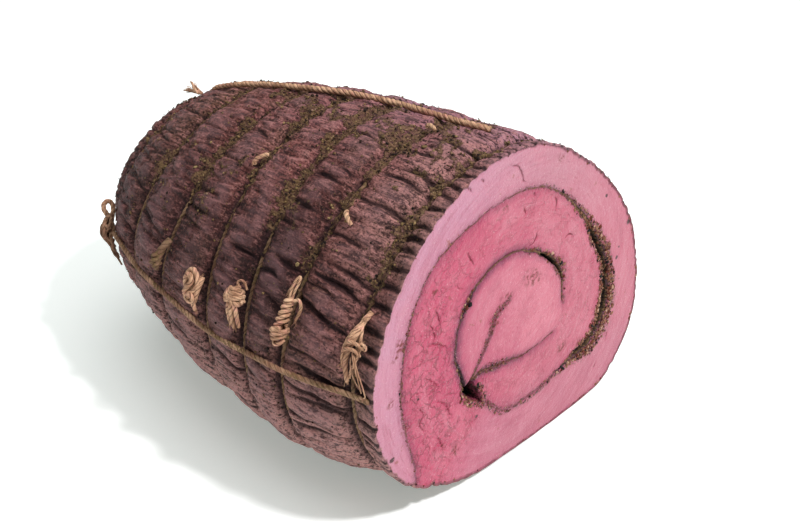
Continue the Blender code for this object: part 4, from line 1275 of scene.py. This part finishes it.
# %% The knots
KNOTS = {
    "knot_loop_1": (8.0, 167.0, 0.12, [
        (0.95, [(0.3, 12.5, -1.6), (0.1, 9.5, 0.6), (0.2, 6.0, 2.2), (-0.6, 2.0, 3.0), (-1.6, -2.5, 2.6), (-1.3, -7.0, 1.9), (-0.8, -10.2, 1.3)]),
        (0.6, [(0.4, 9.5, 1.2), (-1.6, 6.0, 2.0), (-3.4, 1.5, 1.8), (-3.7, -2.5, 1.6), (-2.6, -6.0, 1.6), (-1.4, -8.0, 1.2)]),
        (0.6, [(0.5, 9.0, 1.6), (-0.8, 5.0, 3.3), (-2.4, 0.5, 3.4), (-2.8, -3.5, 2.6), (-2.0, -7.0, 1.6)]),
        (0.55, [(0.6, 8.6, 1.2), (1.8, 5.0, 1.8), (2.4, 1.0, 2.0), (1.8, -2.5, 2.2), (0.3, -6.0, 1.6), (-0.4, -9.0, 0.9)]),
        (0.7, [(-3.4, -2.6, 1.2), (-2.6, -0.2, 3.2), (-0.2, 1.4, 4.1), (2.0, 1.2, 3.4), (3.0, -0.4, 1.6)]),
        (0.7, [(-3.2, 0.4, 1.0), (-2.0, 2.4, 3.4), (0.4, 3.6, 4.0), (2.4, 3.0, 2.8), (2.9, 1.6, 1.0)]),
        (0.5, [(2.4, 3.4, 2.4), (3.8, 3.8, 2.4), (4.6, 2.6, 1.8), (3.8, 1.6, 1.4)]),
        (0.28, [(1.0, 0.5, 3.4), (2.2, -3.0, 3.0), (3.6, -7.5, 1.8), (4.6, -12.0, 0.9)]),
        (0.26, [(1.4, 0.0, 3.0), (3.0, -4.0, 2.4), (4.8, -8.5, 1.4), (6.0, -12.5, 0.8), (5.2, -13.6, 0.6)]),
        (0.22, [(0.6, -1.0, 3.2), (1.2, -5.0, 2.8), (2.8, -9.0, 1.6), (4.0, -11.0, 0.8)])],
        [((2.2, 2.6, 2.6), (1.0, 0.2, 0.1), 12, 3.6), ((-1.0, -9.6, 1.4), (0.1, -1.0, 0.0), 9, 2.4),
         ((0.3, 9.4, 1.2), (0.2, 1.0, 0.1), 8, 3.0), ((-2.6, -5.0, 2.2), (-0.8, -0.6, 0.2), 7, 2.6)]),
    "knot_loop_2": (36.0, 166.5, 0.16, [
        (0.5, [(-0.6, 5.6, 1.6), (-1.0, 8.8, 2.0), (-0.5, 12.2, 2.2), (0.5, 13.4, 2.2), (0.9, 11.4, 2.2), (0.4, 8.4, 2.0), (0.6, 5.6, 1.8)]),
        (0.45, [(-0.2, 12.0, 1.6), (-1.6, 9.6, 1.6), (-2.2, 7.4, 1.4), (-1.9, 6.6, 1.2)]),
        (0.75, coil(6.0, -3.2, 5.0, 1.0, 1.8, 2.4, -0.4, 0.5)),
        (0.95, coil(-3.2, -7.0, 2.6, 2.5, 1.5, 2.6, 0.0, 0.35, 1.0)),
        (0.8, [(-1.6, -7.4, 2.0), (-0.4, -8.3, 3.2), (1.2, -7.8, 2.6), (1.8, -6.4, 1.6)]),
        (1.2, [(-0.2, 5.5, 2.2), (-0.4, 1.0, 2.4), (-0.6, -4.0, 2.5), (-0.4, -6.6, 2.3)]),
        (0.6, [(1.2, 5.6, 2.2), (3.2, 6.8, 2.3), (4.6, 5.6, 2.0), (4.7, 3.4, 1.6), (3.9, 1.4, 1.1), (3.4, 0.0, 0.8)])],
        [((0.6, -7.6, 2.6), (0.2, -1.0, 0.2), 7, 1.4), ((-2.0, 7.2, 1.4), (-0.4, -1.0, 0.0), 6, 2.0),
         ((3.3, 0.2, 0.9), (-0.1, -1.0, 0.0), 6, 2.2)]),
    "knot_loop_3": (57.0, 169.0, 0.2, [
        (1.0, coil(4.6, 0.2, 3.0, 1.5, 3.0, 2.9, 0.2, 0.35)),
        (0.95, coil(0.6, 3.6, 2.2, 2.6, 1.6, 3.2, -0.3, -0.6, 2.0)),
        (1.8, [(0.0, 3.4, 2.6), (0.0, 2.0, 2.8), (0.1, 0.4, 2.7)]),
        (0.85, [(-0.8, 0.4, 4.2), (-1.6, -2.4, 3.2), (-1.7, -5.2, 2.2), (-1.0, -8.0, 1.4)]),
        (0.85, [(0.2, 0.4, 4.4), (0.1, -2.6, 3.4), (0.3, -5.6, 2.4), (0.9, -8.6, 1.4)]),
        (0.8, [(1.2, 0.6, 4.0), (1.8, -2.2, 3.0), (2.2, -5.0, 2.0), (2.6, -7.6, 1.2)]),
        (0.5, [(-0.6, 5.0, 2.0), (-1.2, 6.4, 1.8), (0.6, 7.2, 1.6), (2.2, 6.2, 1.6), (3.2, 5.0, 1.4)])],
        [((0.9, -8.2, 1.4), (0.2, -1.0, 0.0), 8, 1.8), ((-1.0, -7.8, 1.4), (-0.1, -1.0, 0.0), 6, 1.6),
         ((1.0, 6.0, 1.6), (0.6, 0.8, 0.2), 5, 2.0)]),
    "knot_loop_4": (79.0, 171.0, 0.16, [
        (1.05, [(-2.6, -3.8, 1.6), (-3.9, -0.8, 2.2), (-3.3, 3.0, 2.6), (-0.8, 5.0, 2.9), (1.9, 4.2, 3.0), (3.2, 1.8, 2.8), (2.6, -0.6, 3.2), (0.6, -2.4, 3.8), (-1.6, -3.4, 3.4)]),
        (1.0, [(-3.0, -2.4, 1.4), (-2.4, 0.6, 3.6), (-1.2, 3.0, 4.4), (0.6, 3.6, 4.5), (1.6, 1.8, 4.4), (0.2, -0.4, 4.6), (-1.6, -2.4, 4.2), (-2.4, -4.2, 2.8)]),
        (0.95, [(3.4, 4.0, 1.4), (3.8, 1.4, 2.4), (3.5, -1.4, 2.8), (2.6, -3.8, 2.4), (1.2, -5.4, 1.6)]),
        (0.9, [(-2.8, -3.2, 2.6), (-1.6, -4.8, 3.0), (0.4, -5.2, 3.2), (2.2, -4.2, 3.0), (3.3, -2.6, 2.2)]),
        (0.85, [(0.8, -3.2, 4.2), (2.0, -2.2, 4.4), (2.9, -3.2, 3.8), (2.6, -4.8, 3.0), (1.4, -5.2, 2.8)]),
        (0.85, [(0.6, -4.4, 2.0), (0.9, -6.6, 1.7), (1.6, -8.6, 1.1)]),
        (1.6, [(-1.6, 2.6, 1.9), (0.0, 0.5, 2.1), (0.9, -2.6, 1.9)])],
        [((1.6, -8.4, 1.1), (0.3, -1.0, 0.0), 7, 1.6), ((3.4, 4.2, 1.6), (0.8, 0.6, 0.1), 6, 1.8),
         ((-2.4, -4.4, 2.2), (-0.6, -0.8, 0.0), 6, 1.8)]),
    "knot_loop_5": (104.5, 171.0, 1.3, [
        (0.9, [(0.6, 7.6, -0.6), (0.2, 5.0, 0.8), (-0.6, 2.4, 1.4), (-1.6, -0.4, 1.6), (-1.9, -2.6, 1.2)]),
        (1.25, [(2.6, 8.2, 0.1), (1.8, 5.2, 1.3), (0.7, 2.2, 2.0), (-0.5, -0.8, 2.2), (-1.0, -3.2, 1.4)]),
        (1.1, [(1.2, 4.4, 0.9), (1.6, 1.2, 1.8), (1.4, -1.6, 1.9), (0.4, -3.6, 1.2)]),
        (0.85, coil(1.8, -2.4, 2.2, 1.0, 1.9, 2.0, 0.3, 0.5)),
        (0.7, [(-1.9, 1.2, 1.2), (-2.5, -0.6, 1.4), (-1.4, -2.6, 1.6), (0.6, -3.0, 1.6)])],
        [((0.4, -2.8, 1.5), (0.4, -1.0, 0.0), 6, 1.6), ((-1.8, 0.4, 1.4), (-1.0, 0.3, 0.0), 6, 1.8)]),
    "knot_far_end": (154.0, 182.5, 0.1, [
        (1.0, [(0.5, 8.6, 0.2), (-0.8, 6.6, 1.8), (-2.8, 4.2, 2.2), (-3.6, 1.2, 1.8), (-2.4, -1.8, 1.8), (-0.2, -3.4, 1.6)]),
        (0.95, [(-2.0, 7.2, 0.8), (0.2, 5.4, 2.8), (2.2, 2.8, 3.4), (2.0, -0.4, 3.0), (0.0, -2.6, 2.6), (-2.2, -3.6, 1.8), (-3.8, -5.4, 1.0)]),
        (0.9, [(-3.6, 3.4, 1.2), (-1.4, 3.2, 3.6), (1.2, 1.4, 4.2), (3.2, -0.8, 2.6), (3.6, -3.6, 1.4), (1.8, -6.0, 1.2)]),
        (0.8, [(3.4, 5.0, 0.9), (1.0, 4.2, 3.2), (-1.4, 1.4, 4.0), (-2.4, -1.8, 3.2), (-1.2, -5.0, 2.4), (0.8, -7.4, 1.2)]),
        (0.7, [(2.8, 2.6, 1.0), (4.6, 0.4, 1.4), (4.2, -2.4, 1.2), (2.2, -4.6, 1.8), (-0.4, -5.6, 1.8), (-2.6, -7.4, 1.0)]),
        (0.6, [(-4.2, 6.4, 0.8), (-5.0, 3.0, 1.6), (-4.4, -0.6, 1.8), (-3.2, -4.2, 1.6), (-0.6, -7.6, 1.4), (2.6, -9.4, 0.8)]),
        (0.55, [(1.8, 8.2, 0.4), (3.4, 5.4, 1.6), (2.0, 2.2, 2.8), (-0.8, -0.6, 3.4), (-3.6, -2.6, 2.2), (-5.0, -4.2, 1.0)]),
        (0.6, [(4.6, -0.8, 0.8), (2.6, 0.8, 3.0), (-0.6, 1.2, 4.0), (-3.2, 0.2, 2.6), (-5.0, -1.6, 1.0)]),
        (0.5, [(0.8, -4.6, 2.2), (3.2, -6.6, 1.8), (5.4, -7.4, 1.0), (7.6, -9.2, 0.6)]),
        (1.5, [(-0.6, 4.4, 1.6), (0.0, 0.5, 1.9), (0.2, -4.0, 1.6)])],
        [((-3.2, 5.6, 1.4), (-1.0, 0.5, 0.2), 9, 3.2), ((1.6, -6.6, 1.4), (0.4, -1.0, 0.0), 9, 3.2),
         ((-2.6, -6.0, 1.4), (-0.8, -0.6, 0.0), 7, 2.6), ((3.4, 2.0, 1.6), (1.0, 0.0, 0.0), 6, 2.2)]),
    "tuft_far_end_top": (155.0, 112.0, 0.0, [
        (0.8, [(6.4, 0.2, 0.2), (3.4, 0.0, 1.2), (0.6, 0.4, 1.8), (-2.2, 1.0, 2.6)]),
        (0.6, [(6.0, -0.6, 0.4), (4.6, -0.4, 2.0), (3.9, 0.0, 3.6), (3.6, 0.4, 5.2)]),
        (0.5, [(5.4, 0.8, 0.4), (3.4, 1.2, 2.0), (1.6, 1.6, 3.4), (0.4, 1.8, 5.0)]),
        (0.45, [(5.0, 0.0, 0.6), (2.2, -0.2, 1.8), (-0.6, -0.6, 2.6), (-3.4, -0.2, 3.0)])],
        [((1.0, 0.2, 1.6), (-1.0, 0.1, 0.6), 22, 4.4), ((3.6, 0.4, 2.2), (-0.3, 0.2, 1.0), 14, 3.4)]),
}
SOAKED = {"knot_loop_5": 0.85, "knot_far_end": 0.7, "tuft_far_end_top": 0.15}
for node, (place, angle, herby, strands_of, frays) in KNOTS.items():
    parts = []
    for radius, spots in strands_of:
        parts.append(strand(place, angle, spots, radius, strands=3 if radius > 0.9 else 2,
                            pitch=7.0 if radius > 0.9 else 5.5, around=12 if radius > 0.7 else 8))
    for spot, heading, count, length in frays:
        parts += frayed(place, angle, spot, heading, count, length, 0.45)
    build_string(node.replace("knot_", "wound_knot_").replace("tuft_", "frayed_tuft_"), parts, (node,), herby,
                 SOAKED.get(node, 0.0))

# %% Scraps and the eye
SCRAPS = {"scrap_upper": ((74.5, 136.0), (78.5, 132.0)), "scrap_middle": ((29.0, 138.0), (34.0, 140.5)),
          "scrap_top": ((32.5, 103.0), (37.5, 104.0))}
for node, (start, end) in SCRAPS.items():
    place, angle = (start[0] + end[0]) / 2.0, (start[1] + end[1]) / 2.0
    up = radians(start[1] - end[1]) / 2.0 * round_at(place, angle)
    back = (start[0] - end[0]) / 2.0
    spots = [(back, -up, -0.2), (back * 0.4, -up * 0.3, 0.7), (-back * 0.5, up * 0.6, 0.6), (-back, up, -0.1)]
    parts = [strand(place, angle, spots, 0.85, 2, 3.4, 10)]
    parts += frayed(place, angle, (back * 0.8, -up * 0.8, 0.3), (0.8, -0.6, 0.1), 8, 2.4, 0.5)
    build_string("bit_of_string_" + node.split("_")[1], parts, (node,), 0.35)

EYE = [(3.0, -12.0, 0.0), (2.2, -9.0, 0.2), (1.5, -6.8, 0.8), (1.0, -5.4, 2.0), (0.7, -3.8, 2.9), (0.4, -2.1, 2.9),
       (0.3, -0.9, 1.7), (0.5, -1.3, 0.1), (1.1, -3.4, -0.7), (2.0, -6.4, -0.2), (3.0, -9.6, 0.5), (3.8, -12.6, 0.0)]
parts = [strand(162.0, 172.0, EYE, 1.0, 3, 6.0, 12, 0.9)]
parts += frayed(162.0, 172.0, (0.4, -7.5, 1.2), (-0.6, -0.6, 0.9), 12, 3.6, 0.4)
build_string("eye_of_string", parts, ("string_eye_far_end",), 0.1)

# %% [markdown]
# ## Crumbs of herb and pepper
#
# Chopped herbs and coarse pepper stick to the crust, thickest beside the string. Each crumb
# is a small uneven lump. They are made at their true size and joined into one piece for
# each kind, because one joined mesh is light to draw and keeps every crumb in its place.

# %% Scatter crumbs
GOLDEN = (1.0 + 5.0 ** 0.5) / 2.0
LUMP = np.array(((-1, GOLDEN, 0), (1, GOLDEN, 0), (-1, -GOLDEN, 0), (1, -GOLDEN, 0), (0, -1, GOLDEN), (0, 1, GOLDEN),
                 (0, -1, -GOLDEN), (0, 1, -GOLDEN), (GOLDEN, 0, -1), (GOLDEN, 0, 1), (-GOLDEN, 0, -1),
                 (-GOLDEN, 0, 1))) / 1.9
LUMP_FACES = np.array(((0, 11, 5), (0, 5, 1), (0, 1, 7), (0, 7, 10), (0, 10, 11), (1, 5, 9), (5, 11, 4), (11, 10, 2),
                       (10, 7, 6), (7, 1, 8), (3, 9, 4), (3, 4, 2), (3, 2, 6), (3, 6, 8), (3, 8, 9), (4, 9, 5),
                       (2, 4, 11), (6, 2, 10), (8, 6, 7), (9, 8, 1)))


def scatter(name, places_in_mm, directions, sizes, flatness, finish, sink=0.3):
    """Uneven lumps at these points, joined into one piece. Each has its own shape, turn and tone."""
    count = len(places_in_mm)
    shape = LUMP[None] * chance.uniform(0.6, 1.35, (count, 12, 1))
    shape = shape * chance.uniform(0.55, 1.4, (count, 1, 3))
    first = np.cross(directions, chance.normal(size=(count, 3)))
    first /= np.linalg.norm(first, axis=1, keepdims=True)
    second = np.cross(directions, first)
    local = shape * sizes[:, None, None]
    placed = (places_in_mm[:, None] + first[:, None] * local[..., :1] + second[:, None] * local[..., 1:2]
              + directions[:, None] * (local[..., 2:] * flatness + (sizes * flatness * (1.0 - 2.0 * sink))[:, None, None]))
    faces = (LUMP_FACES[None] + 12 * np.arange(count)[:, None, None]).reshape(-1, 3)
    own_tone = np.repeat(chance.uniform(0.0, 1.0, count), 12)
    low, high = np.array(solid_box[0]) + 0.05 * MM, np.array(solid_box[1]) - 0.05 * MM
    points = np.clip(in_frame(placed.reshape(-1, 3)), low, high)
    return build(name, points, [faces], (finish,), (), {"own_tone": own_tone})


def crumb_material(name, dark, light, bright, black_share, paint=tone):
    """A finish for lumps that differ in tone: most between dark and light, some bright, some burnt."""
    finish, shader, spot = new_finish(name, {"Specular IOR Level": 0.2})
    own = spot.carried("own_tone")
    rough_spot = spot.noise(0.5, 2.0)
    colour = own.between(black_share, 0.85).mixed(paint(*dark), paint(*light))
    colour = own.between(0.86, 0.97).mixed(colour, paint(*bright))
    colour = own.between(black_share + 0.04, black_share - 0.04).mixed(colour, paint(30, 20, 17))
    colour = (rough_spot.between(0.5, 0.36) * 0.5).mixed(colour, paint(58, 40, 28))
    joined_up(shader, Base_Color=colour, Roughness=0.8 + (rough_spot - 0.5) * 0.2, Normal=rough_spot.bumped(0.2, 0.5))
    return finish


normals = outward_of(crust)
normals *= np.sign(np.sum(normals[40, 0] * np.array((0.0, 1.0, 0.0))))
on_show = crust[..., 2] > 6.0
on_show[:3] = False
on_show[-6:] = False


def strewn(name, count, weight, smallest, spread, flatness, finish, sink=0.3):
    """Lumps scattered over the crust, most where the weight is greatest."""
    weight = np.clip(weight, 0.0, None) * on_show
    picked = chance.choice(weight.size, count, p=(weight / weight.sum()).ravel())
    spots = crust.reshape(-1, 3)[picked] + chance.uniform(-0.4, 0.4, (count, 3))
    sizes = smallest + spread * chance.random(count) ** 2.5
    scatter(name, spots, normals.reshape(-1, 3)[picked], sizes, flatness, finish, sink)


herb_finish = crumb_material("loose_herbs", (76, 54, 40), (120, 94, 62), (148, 122, 84), 0.28)
strewn("herb_crumbs", 9000, np.maximum(herbs_here, 0.8 * packed) ** 1.2 + 0.02 * upper, 0.14, 0.34, 0.75, herb_finish)
leaf_finish = crumb_material("dried_leaves", (82, 63, 43), (114, 93, 60), (138, 116, 80), 0.2)
strewn("leaf_flakes", 1500, np.maximum(herbs_here, 0.9 * packed) ** 1.3, 0.24, 0.46, 0.3, leaf_finish, 0.1)
pepper_finish = crumb_material("pepper", (44, 30, 26), (78, 52, 44), (150, 118, 100), 0.4)
strewn("pepper_bits", 1500, (0.2 + herbs_here + 0.5 * np.clip(ragged, 0.0, 1.0)) * (0.15 + upper), 0.12, 0.36, 0.8, pepper_finish)

# %% Crumbs on the cut
cut_crumb_finish = crumb_material("browned_crumbs", (122, 78, 66), (172, 130, 110), (214, 174, 152), 0.14, cut_tone)
ring_width = np.linalg.norm(crust[0, :, 1:] - middle, axis=-1)[None, :] / CUT_RINGS
cell = shares[:, None] * ring_width ** 2
in_gap = np.clip(-away, 0.0, 1.0) * openness * (hole_away > 0.0) * (hollow_here < 0.03)
weight = (np.clip(crumbly - 0.25, 0.0, None) ** 1.3 + 0.9 * in_gap) * cell * (hole_away > 0.15)
on_rim = np.clip(1.0 - rim_away / 0.9, 0.0, 1.0) * cell
weight = 0.93 * weight / weight.sum() + 0.07 * on_rim / on_rim.sum()
weight /= weight.sum()
picked = chance.choice(weight.size, 2600, p=weight.ravel())
spots = cut_grid.reshape(-1, 3)[picked].copy()
spots[:, 1:] += chance.uniform(-0.3, 0.3, (2600, 2))
spots[:, 0] = np.clip(spots[:, 0], 0.4, 0.7 + 1.6 * chance.random(2600))
sizes = 0.14 + 0.42 * chance.random(2600) ** 2.6 * np.clip(openness.ravel()[picked] * 1.6, 0.6, 1.6)
directions = np.tile((-1.0, 0.0, 0.0), (2600, 1))
scatter("cut_crumbs", spots, directions, sizes, 0.7, cut_crumb_finish, 0.45)

# %% [markdown]
# ## Floor and light
#
# The joint stands on a plain white surface under a soft studio light. The main light comes
# from the cut's side, rather high, so that the shadow falls to the far end. A wide pale
# surround fills the rest. The floor also glows faintly green-white, a painted light that
# lifts its shadow and lights the joint from below.

# %% Floor
# The floor's glow is painted light: it lifts the floor's shadow to a pale green-grey.
glowing_floor_finish, shader, spot = new_finish("pale_glowing_floor", {"Roughness": 0.9, "Specular IOR Level": 0.1,
                                                       "Emission Color": (0.88, 1.0, 0.94, 1.0),
                                                       "Emission Strength": 0.27})
joined_up(shader, Base_Color=spot.noise(300.0, 2.0).between(0.2, 0.8).mixed(tone(250, 250, 250), tone(254, 254, 254)))
floor_mesh = bpy.data.meshes.new("floor")
floor_mesh.from_pydata([(-3.0, -3.0, 0.0), (3.0, -3.0, 0.0), (3.0, 3.0, 0.0), (-3.0, 3.0, 0.0)], [], [(0, 1, 2, 3)])
floor_mesh.materials.append(glowing_floor_finish)
floor = bpy.data.objects.new("floor", floor_mesh)
floor.location.z = -0.0004
bpy.context.scene.collection.objects.link(floor)

# %% Lights
world = bpy.data.worlds.new("studio")
world.use_nodes = True
world.node_tree.nodes["Background"].inputs["Color"].default_value = (0.94, 1.0, 0.97, 1.0)
world.node_tree.nodes["Background"].inputs["Strength"].default_value = 0.34
bpy.context.scene.world = world


def area_light(name, size, energy, place, aim=(0.0, 0.0, 0.06)):
    light = bpy.data.lights.new(name, "AREA")
    light.shape = "DISK"
    light.size = size
    light.energy = energy
    lamp = bpy.data.objects.new(name, light)
    lamp.location = Vector(place)
    lamp.rotation_mode = "QUATERNION"
    lamp.rotation_quaternion = (Vector(aim) - lamp.location).to_track_quat("-Z", "Y")
    bpy.context.scene.collection.objects.link(lamp)


area_light("key", 0.12, 13.0, Vector((0.62, 0.06, 0.78)) * 1.3 + Vector((0.0, 0.0, 0.06)))
area_light("overhead", 1.5, 10.0, (0.15, 0.1, 1.3))
print("lights: a key from the cut's side, a broad one overhead and a pale surround")
